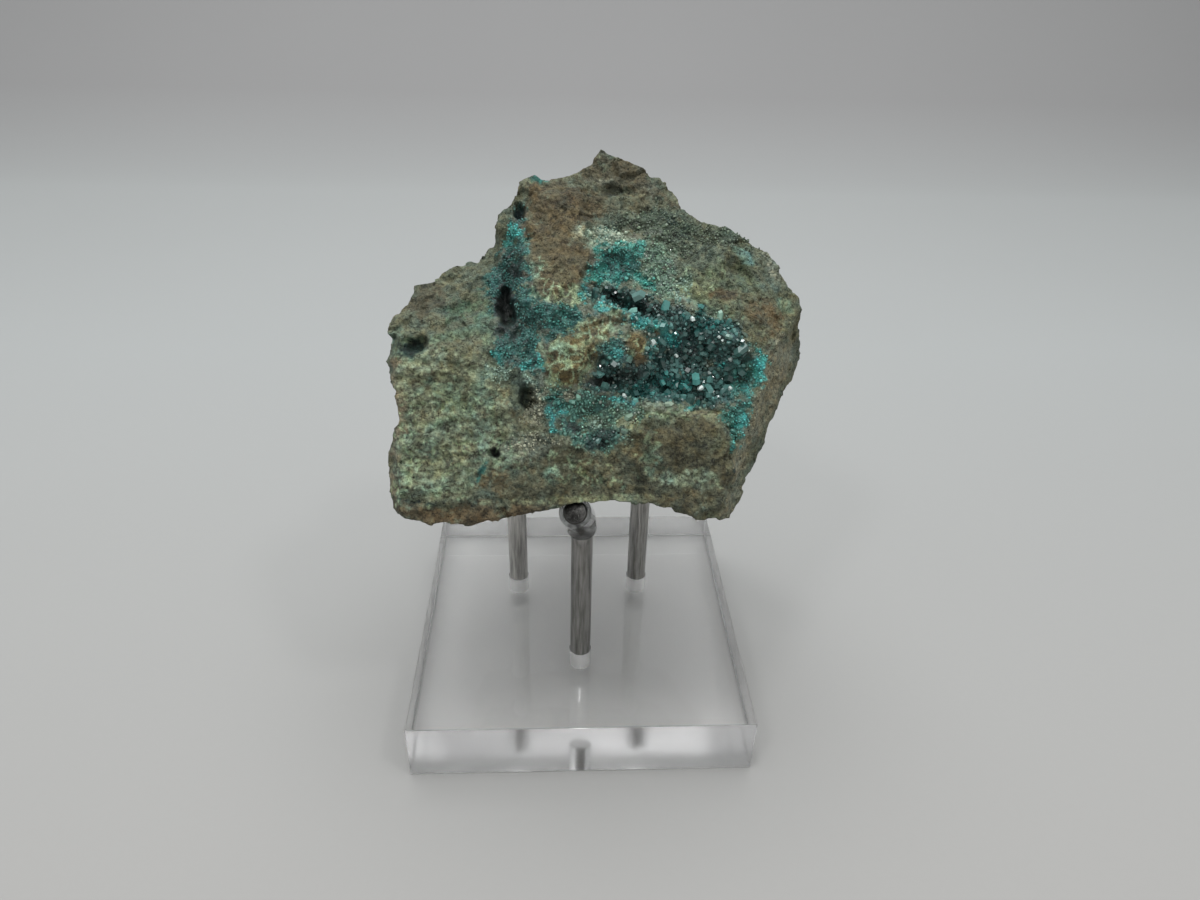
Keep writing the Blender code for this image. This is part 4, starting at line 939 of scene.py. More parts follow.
def net(rim, lines, step, seed):
    """Triangles over the outline: the rim, the lines that they follow, and scattered points between."""
    dice = random.Random(seed)
    points = list(rim)
    edges = []
    for line, closed in lines:
        start = len(points)
        points += line
        edges += [(start + k, start + k + 1) for k in range(len(line) - 1)]
        edges += [(len(points) - 1, start)] * closed
    fixed = np.array(points)
    low, high = fixed.min(axis=0), fixed.max(axis=0)
    row_height = step * math.sqrt(0.75)
    for row in range(int((high[1] - low[1]) / row_height) + 1):
        for column in range(int((high[0] - low[0]) / step) + 1):
            u = low[0] + (column + 0.5 * (row % 2) + dice.uniform(-SCATTER, SCATTER)) * step
            v = low[1] + (row + dice.uniform(-SCATTER, SCATTER)) * row_height
            if np.hypot(*(fixed - (u, v)).T).min() > SCATTER_CLEAR * step:
                points.append((u, v))
    rim_count = len(rim)
    edges += [(k, (k + 1) % rim_count) for k in range(rim_count)]
    made = delaunay_2d_cdt([Vector(p) for p in points], edges, [], 0, 1e-5)
    places = np.array([tuple(p) for p in made[0]])
    triangles = np.array([f for f in made[2] if len(f) == 3])
    middle = places[triangles].mean(axis=1)
    triangles = triangles[inside_loop(list(rim), middle[:, 0], middle[:, 1])]
    order = {index: k for k, sources in enumerate(made[3]) for index in sources}
    return places, triangles, [order[k] for k in range(rim_count)]


# Layers of relief, each (kind, size, height)
FACE_RELIEF = [(grain, 0.9, 0.17), (grain, 0.5, 0.12), (chips, 1.6, 0.3), (chips, 0.8, 0.18)]
FACE_GRAIN = [(grain, 0.36, 0.06)]
# How far the broad forms' edges are shifted along the face
WARP = [(grain, 1.3, 0.3), (grain, 0.6, 0.16)]
SIDE_RELIEF = [(chips, 2.2, 0.4), (chips, 1.0, 0.18), (grain, 0.9, 0.12), (grain, 0.45, 0.06)]
# Layers of colour noise: patches at the zones' edges, mottling, and lightness
PATCHES = [(grain, 1.5, 0.7), (grain, 0.7, 0.7), (grain, 0.32, 0.6)]
MOTTLES = [(grain, 1.5, 0.4), (grain, 0.7, 0.75), (grain, 0.34, 0.95)]
LIGHTNESS = [(grain, 0.45, 0.22), (grain, 0.26, 0.28), (grain, 2.4, 0.1)]
WARMTH = [(grain, 3.2, 0.6), (grain, 1.3, 0.6), (grain, 0.5, 0.6)]
DRUSE_RELIEF = [(chips, 0.7, 0.22), (grain, 0.55, 0.14), (chips, 0.4, 0.12)]


class Maths:
    """A shader socket that takes part in sums: each operator adds the node that works it out."""

    def __init__(self, finish, socket):
        self.finish = finish
        self.socket = socket

    def work(self, operation, *others):
        values = {place: value for place, value in enumerate(others)}
        return self.finish.node("ShaderNodeMath", {"operation": operation}, values)

    def __add__(self, other):
        return self.work("ADD", self, other)

    __radd__ = __add__

    def __sub__(self, other):
        return self.work("SUBTRACT", self, other)

    def __rsub__(self, other):
        return self.work("SUBTRACT", other, self)

    def __mul__(self, other):
        return self.work("MULTIPLY", self, other)

    __rmul__ = __mul__

    def __abs__(self):
        return self.work("ABSOLUTE", self)

    def larger(self, other):
        return self.work("MAXIMUM", self, other)

    def between(self, low, high):
        """0 at or below low, 1 at or above high, even between."""
        return self.finish.node(
            "ShaderNodeMapRange", {"clamp": True}, {"Value": self, "From Min": low, "From Max": high}
        )


class Finish:
    """A material under construction, with one method for any node."""

    def __init__(self, name, **uniform):
        self.material = bpy.data.materials.new(name)
        self.material.use_nodes = True
        self.tree = self.material.node_tree
        self.shader = self.tree.nodes["Principled BSDF"]
        for socket, value in uniform.items():
            self.shader.inputs[socket.replace("_", " ")].default_value = value

    def node(self, kind, settings=None, values=None, output=0):
        made = self.tree.nodes.new(kind)
        for setting, value in (settings or {}).items():
            setattr(made, setting, value)
        for place, value in (values or {}).items():
            self.feed(made.inputs[place], value)
        return Maths(self, made.outputs[output])

    def feed(self, socket, value):
        if isinstance(value, Maths):
            self.tree.links.new(value.socket, socket)
        else:
            socket.default_value = value

    def set(self, **linked):
        for socket, value in linked.items():
            self.feed(self.shader.inputs[socket.replace("_", " ")], value)
        return self.material

    def place(self):
        return self.node("ShaderNodeTexCoord", output="Object")

    def attribute(self, name, output="Color"):
        return self.node("ShaderNodeAttribute", {"attribute_name": name}, output=output)

    def noise(self, size, detail=3.0, roughness=0.55, where=None, distortion=0.0):
        """Noise from 0 to 1 with lumps of a size in millimetres."""
        values = {
            "Vector": where or self.place(), "Scale": 1 / (size * MM), "Detail": detail,
            "Roughness": roughness, "Distortion": distortion,
        }
        return self.node("ShaderNodeTexNoise", None, values)

    def cells(self, size, output="Distance"):
        """Rounded cells of a size in millimetres."""
        values = {"Vector": self.place(), "Scale": 1 / (size * MM)}
        return self.node("ShaderNodeTexVoronoi", None, values, output)

    def mix(self, share, first, second, blend="MIX"):
        """A colour from first to second."""
        settings = {"data_type": "RGBA", "blend_type": blend}
        return self.node("ShaderNodeMix", settings, {0: share, 6: first, 7: second}, output=2)

    def shaded(self, colour, value):
        """A colour made lighter or darker."""
        return self.mix(1.0, colour, self.grey(value), "MULTIPLY")

    def grey(self, value):
        return self.node("ShaderNodeCombineColor", None, {"Red": value, "Green": value, "Blue": value})

    def bump(self, height, distance, strength=1.0):
        values = {"Height": height, "Distance": distance * MM, "Strength": strength}
        return self.node("ShaderNodeBump", None, values)


def linear(colour):
    """A colour in sRGB 0 to 255 as linear light."""
    share = np.asarray(colour, float) / 255
    return np.where(share <= 0.04045, share / 12.92, ((share + 0.055) / 1.055) ** 2.4)


def put_in_scene(name, contents):
    obj = bpy.data.objects.new(name, contents)
    bpy.context.scene.collection.objects.link(obj)
    return obj


def add_piece(name, mesh, material):
    obj = put_in_scene(name, mesh)
    mesh.materials.append(material)
    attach(obj, "root")
    return obj


def mesh_from(name, points, faces):
    """A mesh from points in millimetres and faces that all have the same number of corners."""
    faces = np.asarray(faces)
    mesh = bpy.data.meshes.new(name)
    mesh.vertices.add(len(points))
    mesh.vertices.foreach_set("co", (np.asarray(points) * MM).astype(np.float32).ravel())
    mesh.loops.add(faces.size)
    mesh.loops.foreach_set("vertex_index", faces.astype(np.int32).ravel())
    mesh.polygons.add(len(faces))
    corners = faces.shape[1]
    mesh.polygons.foreach_set("loop_start", np.arange(0, faces.size, corners, dtype=np.int32))
    mesh.polygons.foreach_set("loop_total", np.full(len(faces), corners, np.int32))
    mesh.update(calc_edges=True)
    mesh.validate()
    return mesh


def store(mesh, name, colours):
    """A colour for each point of a mesh, which its material reads."""
    colours = np.concatenate([colours, np.ones((len(colours), 1))], axis=1)
    layer = mesh.attributes.new(name, "FLOAT_COLOR", "POINT")
    layer.data.foreach_set("color", colours.astype(np.float32).ravel())


def sides_of(triangles):
    """Each triangle's three sides as pairs of point numbers, in its own turning direction."""
    return np.concatenate([triangles[:, [k, (k + 1) % 3]] for k in range(3)])


def split(points, triangles, rim):
    """Each triangle cut into four. The rim keeps its order, with the new points between the old."""
    sides, index = np.unique(np.sort(sides_of(triangles), axis=1), axis=0, return_inverse=True)
    middles = (points[sides[:, 0]] + points[sides[:, 1]]) / 2
    ab, bc, ca = index.reshape(3, -1) + len(points)
    a, b, c = triangles.T
    quarters = [(a, ab, ca), (ab, b, bc), (ca, bc, c), (ab, bc, ca)]
    new_triangles = np.concatenate([np.stack(quarter, axis=1) for quarter in quarters])
    found = {tuple(side): k + len(points) for k, side in enumerate(sides.tolist())}
    new_rim = []
    for here, ahead in zip(rim, rim[1:] + rim[:1]):
        new_rim += [here, found[min(here, ahead), max(here, ahead)]]
    return np.concatenate([points, middles]), new_triangles, new_rim


def normals_of(points, triangles):
    a, b, c = (points[triangles[:, k]] for k in range(3))
    facing = np.cross(b - a, c - a)
    total = np.zeros_like(points)
    for k in range(3):
        np.add.at(total, triangles[:, k], facing)
    return total / np.maximum(np.linalg.norm(total, axis=1, keepdims=True), 1e-9)


def roughness(points, layers, seed=SEEDS["relief"]):
    """The sum of layers of noise, each (kind, size, height)."""
    total = 0.0
    for number, (kind, size, height) in enumerate(layers):
        total = total + height * kind(points, size, seed + SEED_STEP * number)
    return total


def zone_share(place, u, v):
    """How far inside a zone each point lies: 0 outside, 1 well inside."""
    if isinstance(place, list):
        inside = np.where(inside_loop(place, u, v), 1, -1) * loop_distance(place, u, v)
        return np.clip(inside / ZONE_EDGE + 0.5, 0, 1)
    reach = np.hypot(*within_oval(place, u, v))
    return np.clip((1 - reach) / BLOB_EDGE + 0.5, 0, 1)


def face_look(u, v):
    """What the open face is like at each place: colour, colour of the mottling, relief and crystal size."""
    place = flat(u, v)
    patchy = [roughness(place, PATCHES, seed) for seed in SEEDS["patches"]]
    look = np.tile(look_row("grey_olive"), (len(u), 1))
    for number, (colour, strength, zone) in enumerate(ZONES):
        share = strength * zone_share(zone, u, v)
        if colour == "lace":
            share = share * lace_pattern(place)
        speckled = smooth_step((share - 0.5 + 0.5 * patchy[number % 3] * (share > 0)) / PATCH_BLUR + 0.5)
        share = (ZONE_SPECKLE * speckled + (1 - ZONE_SPECKLE) * share)[:, None]
        look = look * (1 - share) + look_row(colour) * share
    return look


def lace_pattern(place):
    """A net of thin lines: 1 on a line, 0 between them."""
    lines = [1 - np.abs(grain(place, size, SEEDS["lace"])) / width for size, width in LACE]
    return smooth_step(LACE_STRENGTH * np.maximum(*lines))


def look_row(colour):
    main, second, relief, crystal = PALETTE[colour]
    return np.array([*linear(main), *linear(second), relief, crystal])


def store_colours(mesh, look, points, streaked):
    """Two colours for each point, mottled by noise, which the material mixes finely."""
    stretch = np.where(streaked[:, None], np.array([STREAKED_STRETCH]), 1.0)
    spots = points * stretch
    share = smooth_step(roughness(spots, MOTTLES, SEEDS["mottles"]) / MOTTLE_BLUR + MOTTLE_SHARE)[:, None]
    warm = roughness(points, WARMTH, SEEDS["warmth"])[:, None] * WARM_TINT
    light = np.clip(1 + roughness(points, LIGHTNESS, SEEDS["lightness"]), *LIGHT_LIMITS)[:, None]
    light = light * (1 + warm)
    main, second = look[:, 0:3], look[:, 3:6]
    store(mesh, "mineral", (main * (1 - share) + second * share) * light * COLOUR_GAIN)
    store(mesh, "mottle", (main * MOTTLE_MIX + second * (1 - MOTTLE_MIX)) * light * COLOUR_GAIN)


def back_look(points):
    """The broken sides and back: brown-grey with olive, tan and a little green."""
    look = np.tile(look_row("brown"), (len(points), 1))
    for number, (colour, size, level) in enumerate(BACK_COLOURS):
        noise = grain(points, size, SEEDS["back_patches"] + number)
        noise = noise + BACK_SPECKS[1] * grain(points, size / BACK_SPECKS[0], SEEDS["back_specks"] + number)
        share = smooth_step((noise - level) / PATCH_BLUR)[:, None]
        look = look * (1 - share) + look_row(colour) * share
    return look


class RockShape:
    """The open face as a fine net, made once and used for the rock and for its crust."""

    def __init__(self, fineness, relief):
        rim = evenly(OUTLINE, FINE_RIM_STEP)
        lines = [(evenly(loop, FINE_RIM_STEP), True) for loop in (CRUST, *BARE_ISLANDS)]
        self.fineness = fineness
        self.relief = relief
        self.rim = rim
        places, triangles, rim_order = net(rim, lines, FINE_STEP, SEEDS["face_net"])
        middle = places[triangles].mean(axis=1)
        crusted = in_crust(middle[:, 0], middle[:, 1]) > 0
        for _ in range(fineness):
            places, triangles, rim_order = split(places, triangles, rim_order)
            crusted = np.tile(crusted, 4)
        self.triangles = triangles
        self.rim_order = rim_order
        self.crusted = crusted
        u, v = places.T
        edge = smooth_step(loop_distance(rim, u, v) / RIM_RAGGED_WIDTH)
        jitter = RIM_RAGGED * (1 - edge)
        across, up = (grain(flat(u, v), RIM_RAGGED_SIZE, seed) for seed in SEEDS["rim_shift"])
        self.u = u + jitter * across
        self.v = v + jitter * up
        self.look = face_look(self.u, self.v)
        self.inside = in_crust(self.u, self.v)
        self.level = fine_level(self.u, self.v, self.look, relief)


def fine_level(u, v, look, relief):
    """The face's height with its fine relief."""
    place = flat(u, v)
    fine = roughness(place, FACE_RELIEF) * look[:, 6]
    gaps = np.abs(grain(place, KNOB_GAP, SEEDS["knob_gaps"]))
    knobs = (grain(place, KNOB_SIZE, SEEDS["knobs"]) - gaps) * KNOB_HEIGHT
    fine = fine + knobs * smooth_step((look[:, 6] - KNOBS_FROM) / KNOBS_RANGE)
    shift = [relief * roughness(place, WARP, seed) for seed in SEEDS["warp"]]
    return front_level(u + shift[0], v + shift[1]) + relief * fine


def into_box(points):
    """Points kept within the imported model's box."""
    low, high = (np.array(corner) / MM for corner in CAD_BOX)
    return np.clip(points, low + BOX_MARGIN, high - BOX_MARGIN)


def make_rock(shape):
    bed = CRUST_BED * smooth_step(shape.inside / CRUST_FADE)
    front = to_world(shape.u, shape.v, shape.level - bed)
    places, triangles, rim_order = net(shape.rim, [], FINE_BACK_STEP, SEEDS["rear_net"])
    behind = back_points(*places.T)
    for _ in range(shape.fineness):
        behind, triangles, rim_order = split(behind, triangles, rim_order)
    count = len(rim_order)
    front_rim = np.array(shape.rim_order)
    behind[rim_order] = front[front_rim] - RIM_THICKNESS * FACE_W
    walls = []
    for row in range(1, WALL_ROWS):
        walls.append(front[front_rim] - RIM_THICKNESS * row / WALL_ROWS * FACE_W)
    points = np.concatenate([front, *walls, behind])
    rows = [front_rim]
    rows += [len(front) + k * count + np.arange(count) for k in range(WALL_ROWS - 1)]
    behind_start = len(front) + (WALL_ROWS - 1) * count
    rows.append(np.array(rim_order) + behind_start)
    faces = [shape.triangles, triangles[:, ::-1] + behind_start]
    for upper, lower in zip(rows, rows[1:]):
        ahead_up, ahead_low = np.roll(upper, -1), np.roll(lower, -1)
        faces.append(np.stack([upper, ahead_low, lower], axis=1))
        faces.append(np.stack([upper, ahead_up, ahead_low], axis=1))
    faces = np.concatenate(faces)
    normals = normals_of(points, faces)
    is_front = np.arange(len(points)) < len(front)
    height = roughness(points, SIDE_RELIEF) * near_rods(points)
    height = np.where(is_front, shape.relief * roughness(points, FACE_GRAIN), height)
    points = into_box(points + normals * height[:, None])
    look = np.concatenate([shape.look, back_look(points[len(front):])])
    on_face = points - FACE_ORIGIN
    streaked = (on_face @ FACE_U < STREAK_EDGE) & is_front
    mesh = mesh_from("rock", points, faces)
    store_colours(mesh, look, points, streaked)
    mesh.shade_smooth()
    return mesh


def make_crust(shape, druse_height):
    """The skin of tiny crystals over the hollow: its top, its underside and the edge between them."""
    triangles = shape.triangles[shape.crusted]
    used, index = np.unique(triangles, return_inverse=True)
    triangles = index.reshape(triangles.shape)
    u, v, inside = shape.u[used], shape.v[used], np.maximum(shape.inside[used], 0)
    place = flat(u, v)
    druse = roughness(place, DRUSE_RELIEF) * smooth_step(inside / DRUSE_FADE)
    level = shape.level[used] - CRUST_TUCK + druse_height * druse
    top = to_world(u, v, level)
    bottom = to_world(u, v, level - CRUST_TUCK - CRUST_DEPTH * smooth_step(inside / CRUST_FADE))
    count = len(used)
    directed = {(a, b) for a, b in sides_of(triangles).tolist()}
    border = np.array(sorted((a, b) for a, b in directed if (b, a) not in directed))
    a, b = border.T
    faces = [triangles, triangles[:, ::-1] + count]
    faces += [np.stack([b, a, a + count], axis=1), np.stack([b, a + count, b + count], axis=1)]
    points = np.concatenate([top, bottom])
    look = np.tile(shape.look[used], (2, 1))
    mesh = mesh_from("crust", into_box(points), np.concatenate(faces))
    store_colours(mesh, look, points, np.zeros(len(points), bool))
    mesh.shade_smooth()
    return mesh


def crystal_sites(settings):
    """Where crystals stand: (u, v, size) with the spacing that their size asks for."""
    dice = np.random.default_rng(settings.seed)
    u = dice.uniform(*CRYSTAL_SPAN_U, settings.tries)
    v = dice.uniform(*CRYSTAL_SPAN_V, settings.tries)
    look = face_look(u, v)
    wanted = look[:, 7] * dice.lognormal(*SIZE_SPREAD, len(u))
    rich = (look[:, 7] > CRYSTALS_FROM) & inside_loop(OUTLINE, u, v)
    grid = {}
    chosen = []
    packing = settings.spacing * np.where(look[:, 7] < SHINY_FROM, settings.sparse, 1)
    for k in np.flatnonzero(rich):
        size = float(np.clip(wanted[k] * settings.size_mm, *SIZE_LIMITS))
        column, row = int(u[k] // 1), int(v[k] // 1)
        near = [grid.get((column + i, row + j), ()) for i in (-1, 0, 1) for j in (-1, 0, 1)]
        if all(
            (u[k] - a) ** 2 + (v[k] - b) ** 2 > (packing[k] * (size + other)) ** 2
            for group in near for a, b, other in group
        ):
            grid.setdefault((column, row), []).append((u[k], v[k], size))
            chosen.append((k, size))
    index = np.array([k for k, _ in chosen])
    return u[index], v[index], np.array([size for _, size in chosen]), look[index], dice


def make_crystals(relief, settings):
    """Six-sided prisms with three-faced tips, all in one mesh of four-cornered faces."""
    u, v, size, look, dice = crystal_sites(settings)
    step = SLOPE_STEP
    level = fine_level(u, v, look, relief)
    across = fine_level(u + step, v, look, relief) - fine_level(u - step, v, look, relief)
    upward = fine_level(u, v + step, look, relief) - fine_level(u, v - step, look, relief)
    slope = np.clip(np.stack([-across, -upward], axis=1) / (2 * step), -STEEPEST, STEEPEST)
    root = to_world(u, v, level)
    axis = slope[:, :1] * FACE_U + slope[:, 1:] * FACE_V + FACE_W
    axis += dice.normal(0, settings.lean, axis.shape)
    axis /= np.linalg.norm(axis, axis=1, keepdims=True)
    side = np.cross(axis, dice.normal(0, 1, axis.shape))
    side /= np.linalg.norm(side, axis=1, keepdims=True)
    other = np.cross(axis, side)
    girth = size * 0.5 * dice.uniform(*CRYSTAL_GIRTH, len(u))
    length = size * dice.uniform(*CRYSTAL_LENGTH, len(u))
    blunt = dice.uniform(*CRYSTAL_TIP, len(u))
    corners = []
    for ring in range(2):
        for k in range(6):
            angle = math.radians(60 * k)
            height = -CRYSTAL_ROOT * size if ring == 0 else length - blunt * girth * (1 + k % 2)
            corners.append(
                root + girth[:, None] * (math.cos(angle) * side + math.sin(angle) * other)
                + height[:, None] * axis
            )
    corners.append(root + length[:, None] * axis)
    points = np.stack(corners, axis=1).reshape(-1, 3)
    quads = [(0, 5, 4, 3), (0, 3, 2, 1)]
    quads += [(k, (k + 1) % 6, 6 + (k + 1) % 6, 6 + k) for k in range(6)]
    quads += [(12, 6 + k - 1, 6 + k, 6 + (k + 1) % 6) for k in (1, 3, 5)]
    per_crystal = len(corners)
    starts = per_crystal * np.arange(len(u))
    faces = (np.array(quads)[None] + starts[:, None, None]).reshape(-1, 4)
    tone = dice.normal(0, 1, len(u))
    shine = smooth_step((look[:, 7] - SHINY_FROM) / SHINY_RANGE)
    shine = np.maximum(shine, dice.random(len(u)) < FEW_SHINY)
    tone = np.exp(tone * (TONE_SPREAD[0] + TONE_SPREAD[1] * shine) + TONE_SHIFT)
    strength = CRYSTAL_COLOUR[0] - CRYSTAL_COLOUR[1] * shine
    colour = look[:, 0:3] * (tone * COLOUR_GAIN * strength)[:, None]
    # Painted glints: a few shiny crystals are coloured near white
    painted_glint = (look[:, 7] > PAINTED_GLINT_FROM) & (dice.random(len(u)) < PAINTED_GLINT_SHARE)
    painted_glint &= (size > PAINTED_GLINT_SIZES[0]) & (size < PAINTED_GLINT_SIZES[1])
    colour[painted_glint] = linear(PAINTED_GLINT_COLOUR)
    white = (shine < 0.5) & (look[:, 7] > WHITE_FROM) & (dice.random(len(u)) < WHITE_SHARE)
    colour[white] = linear(WHITE_COLOUR)
    mesh = mesh_from("crystals", into_box(points), faces)
    store(mesh, "mineral", np.repeat(colour, per_crystal, axis=0))
    store(mesh, "shine", np.repeat(shine[:, None] * np.ones(3), per_crystal, axis=0))
    mesh.shade_flat()
    return mesh


def helper_object(name, work):
    """An object from a form under work, to be taken out again when it has served."""
    mesh = bpy.data.meshes.new(name)
    work.to_mesh(mesh)
    work.free()
    return put_in_scene(name, mesh)


def make_block(name):
    """The clear block with polished, slightly rounded edges and three blind holes."""
    work = bmesh.new()
    bmesh.ops.create_cube(work, size=1.0)
    bmesh.ops.scale(work, vec=Vector((BLOCK_SIDE, BLOCK_SIDE, BLOCK_HEIGHT)) * MM, verts=work.verts)
    bmesh.ops.translate(work, vec=(0, 0, BLOCK_HEIGHT / 2 * MM), verts=work.verts)
    bmesh.ops.bevel(
        work, geom=work.edges, offset=FINE_BLOCK_EDGE * MM, segments=BLOCK_EDGE_STEPS, profile=0.5,
        affect="EDGES",
    )
    block = helper_object(name, work)
    bits = []
    for (x, y), _ in RODS.values():
        work = bmesh.new()
        radius = (ROD_RADIUS + HOLE_CLEARANCE) * MM
        bmesh.ops.create_cone(
            work, cap_ends=True, segments=FINE_HOLE_SIDES, depth=2 * HOLE_DEPTH * MM,
            radius1=radius, radius2=radius,
        )
        bit = helper_object("hole", work)
        bit.location = Vector((x, y, BLOCK_HEIGHT)) * MM
        cut = block.modifiers.new("Hole", "BOOLEAN")
        cut.operation = "DIFFERENCE"
        cut.solver = "EXACT"
        cut.object = bit
        bits.append(bit)
    bpy.context.view_layer.update()
    evaluated = block.evaluated_get(bpy.context.evaluated_depsgraph_get())
    finished = bpy.data.meshes.new_from_object(evaluated)
    finished.name = name
    for helper in (block, *bits):
        bpy.data.objects.remove(helper, do_unlink=True)
    finished.set_sharp_from_angle(angle=SMOOTH_ANGLE)
    inner = (BLOCK_SIDE / 2 - SIDE_DEPTH) * MM
    for face in finished.polygons:
        upright = abs(face.normal.z) < UPRIGHT
        in_hole = upright and max(abs(face.center.x), abs(face.center.y)) < inner
        face.use_smooth = in_hole
        face.material_index = int(abs(face.normal.z) < LEVEL and not in_hole)
    return finished


def lathe(stations, sides, stand):
    """A closed surface round a line: stations are (outward, up, direction, radius) in order along it."""
    (x, y), turn = RODS[stand]
    turn = math.radians(turn)
    ahead = np.array([math.cos(turn), math.sin(turn), 0.0])
    aside = np.array([-math.sin(turn), math.cos(turn), 0.0])
    around = 2 * np.pi * np.arange(sides) / sides
    rings = []
    for out, up, angle, radius in stations:
        middle = np.array([x, y, BLOCK_HEIGHT + up]) + out * ahead
        across = math.cos(angle) * ahead - math.sin(angle) * np.array([0, 0, 1.0])
        ring = radius * (np.cos(around)[:, None] * across + np.sin(around)[:, None] * aside)
        rings.append(middle + ring)
    return np.array(rings)


def sleeve_start(steps):
    """How much of the straight rod the sleeve covers, and how many steps of the bend it leaves bare."""
    lead = VISIBLE_SLEEVE - ROD_END - ROD_BEND * ROD_BEND_RADIUS
    return lead, max(0, math.ceil(-lead / (ROD_BEND * ROD_BEND_RADIUS) * steps))


def capped_faces(rows, sides):
    """Three-cornered faces that close a run of rings at both ends."""
    quads = ring_faces(rows, sides, False)
    k = np.arange(1, sides - 1)
    last = (rows - 1) * sides
    foot = np.stack([np.zeros_like(k), k + 1, k], axis=1)
    tip = np.stack([np.full_like(k, last), last + k, last + k + 1], axis=1)
    return np.concatenate([quads[:, [0, 1, 2]], quads[:, [0, 2, 3]], foot, tip])


def ring_faces(rows, sides, closed):
    """Four-cornered faces between each ring and the next."""
    k = np.arange(sides)
    n = (k + 1) % sides
    faces = []
    for row in range(rows if closed else rows - 1):
        here, ahead = row * sides, (row + 1) % rows * sides
        faces.append(np.stack([here + k, here + n, ahead + n, ahead + k], axis=1))
    return np.concatenate(faces)


def round_mesh(name, rings, faces):
    """A turned surface that looks smooth but for its sharp edges."""
    mesh = mesh_from(name, rings.reshape(-1, 3), faces)
    mesh.shade_smooth()
    mesh.set_sharp_from_angle(angle=SMOOTH_ANGLE)
    return mesh


def make_rod(stand, settings):
    """A bent rod with a slightly rounded end."""
    middle, heading = rod_path(settings.bend_steps)
    stations = [(out, up, angle, ROD_RADIUS) for (out, up), angle in zip(middle, heading)]
    out, up, angle, radius = stations.pop()
    ahead = np.array([math.sin(angle), math.cos(angle)])
    end = np.array([out, up])
    for back, inset in ROD_END_PROFILE:
        place = end - back * ahead
        stations.append((*place, angle, radius - inset))
    rings = lathe(stations, settings.sides, stand)
    mesh = round_mesh("rod_" + stand, rings, capped_faces(len(rings), settings.sides))
    # Painted light and shade: each rod's own brightness, and painted shade where the sleeve covers it; the
    # end is set darkest
    tone = np.full((len(rings), settings.sides, 3), ROD_LIGHT_AND_SHADE[stand])
    tone[BEND_START + 1 + sleeve_start(settings.bend_steps)[1]:] *= ROD_SLEEVE_SHADE
    tone[-1:] = ROD_TIP_TONE
    store(mesh, "tone", tone.reshape(-1, 3))
    return mesh


def make_sleeve(stand, settings):
    """A soft clear tube over the rod's bend and end, a little past its tip."""
    middle, heading = rod_path(settings.bend_steps)
    out, up = middle[-1]
    lead, skipped = sleeve_start(settings.bend_steps)
    line = []
    if lead > 0:
        line.append((0.0, ROD_STRAIGHT - lead, 0.0))
    bare = BEND_START + skipped
    line += [(*place, angle) for place, angle in zip(middle[bare:-1], heading[bare:-1])]
    end = (out + SLEEVE_LIP * math.sin(ROD_BEND), up + SLEEVE_LIP * math.cos(ROD_BEND))
    line.append((*end, ROD_BEND))
    inner = ROD_RADIUS + settings.sleeve_clearance
    stations = [(*place, SLEEVE_RADIUS) for place in line]
    stations += [(*place, inner) for place in line[::-1]]
    rings = lathe(stations, settings.sides, stand)
    return round_mesh("tube_" + stand, rings, ring_faces(len(rings), settings.sides, True))


def rock_finish():
    finish = Finish("rock", IOR=1.5)
    fine = finish.noise(0.42, 5.0, 0.7)
    specks = finish.noise(0.19, 2.0, 0.6)
    # Painted shade: dark specks for the shade in tiny pits, and darkening at the edges of the grain cells, in
    # the crevices where the bump sinks
    pit_shade = finish.noise(0.28, 3.0, 0.6).between(0.54, 0.62)
    grains = finish.cells(0.5)
    crevice = grains.between(0.42, 0.8)
    other = (specks * 0.6 + fine * 0.4).between(0.47, 0.55)
    colour = finish.mix(other * 0.8, finish.attribute("mineral"), finish.attribute("mottle"))
    # The colour is darkened by the painted shade of the crevices and pits
    value = 1.38 + (fine - 0.5) * 2.8 + (specks - 0.5) * 3.4 - crevice * 0.3 - pit_shade * 0.5
    tinted = finish.shaded(colour, value)
    gloss = 0.92 - 0.35 * finish.noise(0.5, 2.0).between(0.55, 0.75)
    rise = fine - grains * 0.7 + specks * 0.8
    return finish.set(Base_Color=tinted, Roughness=gloss, Normal=finish.bump(rise, 0.42, 1.0))


def crust_finish():
    finish = Finish("crust", IOR=1.67)
    fine = finish.noise(0.4, 4.0, 0.7)
    cell = finish.cells(0.3, output="Color")
    tone = finish.node("ShaderNodeSeparateColor", None, {0: cell}, output="Red")
    other = (fine * 0.7 + tone * 0.3).between(0.46, 0.56)
    colour = finish.mix(other * 0.7, finish.attribute("mineral"), finish.attribute("mottle"))
    value = 0.62 + tone * 0.55 + (fine - 0.5) * 2.2
    tinted = finish.shaded(colour, value)
    rise = fine - finish.cells(0.3) * 0.8
    gloss = 0.32 + 0.4 * tone
    return finish.set(Base_Color=tinted, Roughness=gloss, Normal=finish.bump(rise, 0.3, 0.8))


def crystal_finish():
    finish = Finish("crystal", IOR=1.67)
    colour = finish.attribute("mineral")
    veil = finish.noise(0.5, 3.0).between(0.5, 0.75)
    milky = finish.mix(veil * 0.25, colour, (0.16, 0.26, 0.23, 1.0))
    dull = 1 - finish.attribute("shine", "Fac")
    gloss = 0.03 + 0.1 * finish.noise(0.8, 2.0) + 0.5 * dull
    rise = finish.noise(0.3, 2.0) * dull
    return finish.set(Base_Color=milky, Roughness=gloss, Normal=finish.bump(rise, 0.02, 0.3))


def acrylic_finish(name, clear, least, most):
    """Acrylic that lets a share of the light through, between two roughnesses."""
    finish = Finish(name, IOR=1.49, Transmission_Weight=1.0)
    cloud = finish.noise(9.0, 3.0)
    tint = finish.grey(clear + 0.01 * cloud)
    scratches = finish.noise(5.0, 2.0, 0.5).between(0.3, 0.7)
    return finish.set(Base_Color=tint, Roughness=least + (most - least) * scratches)


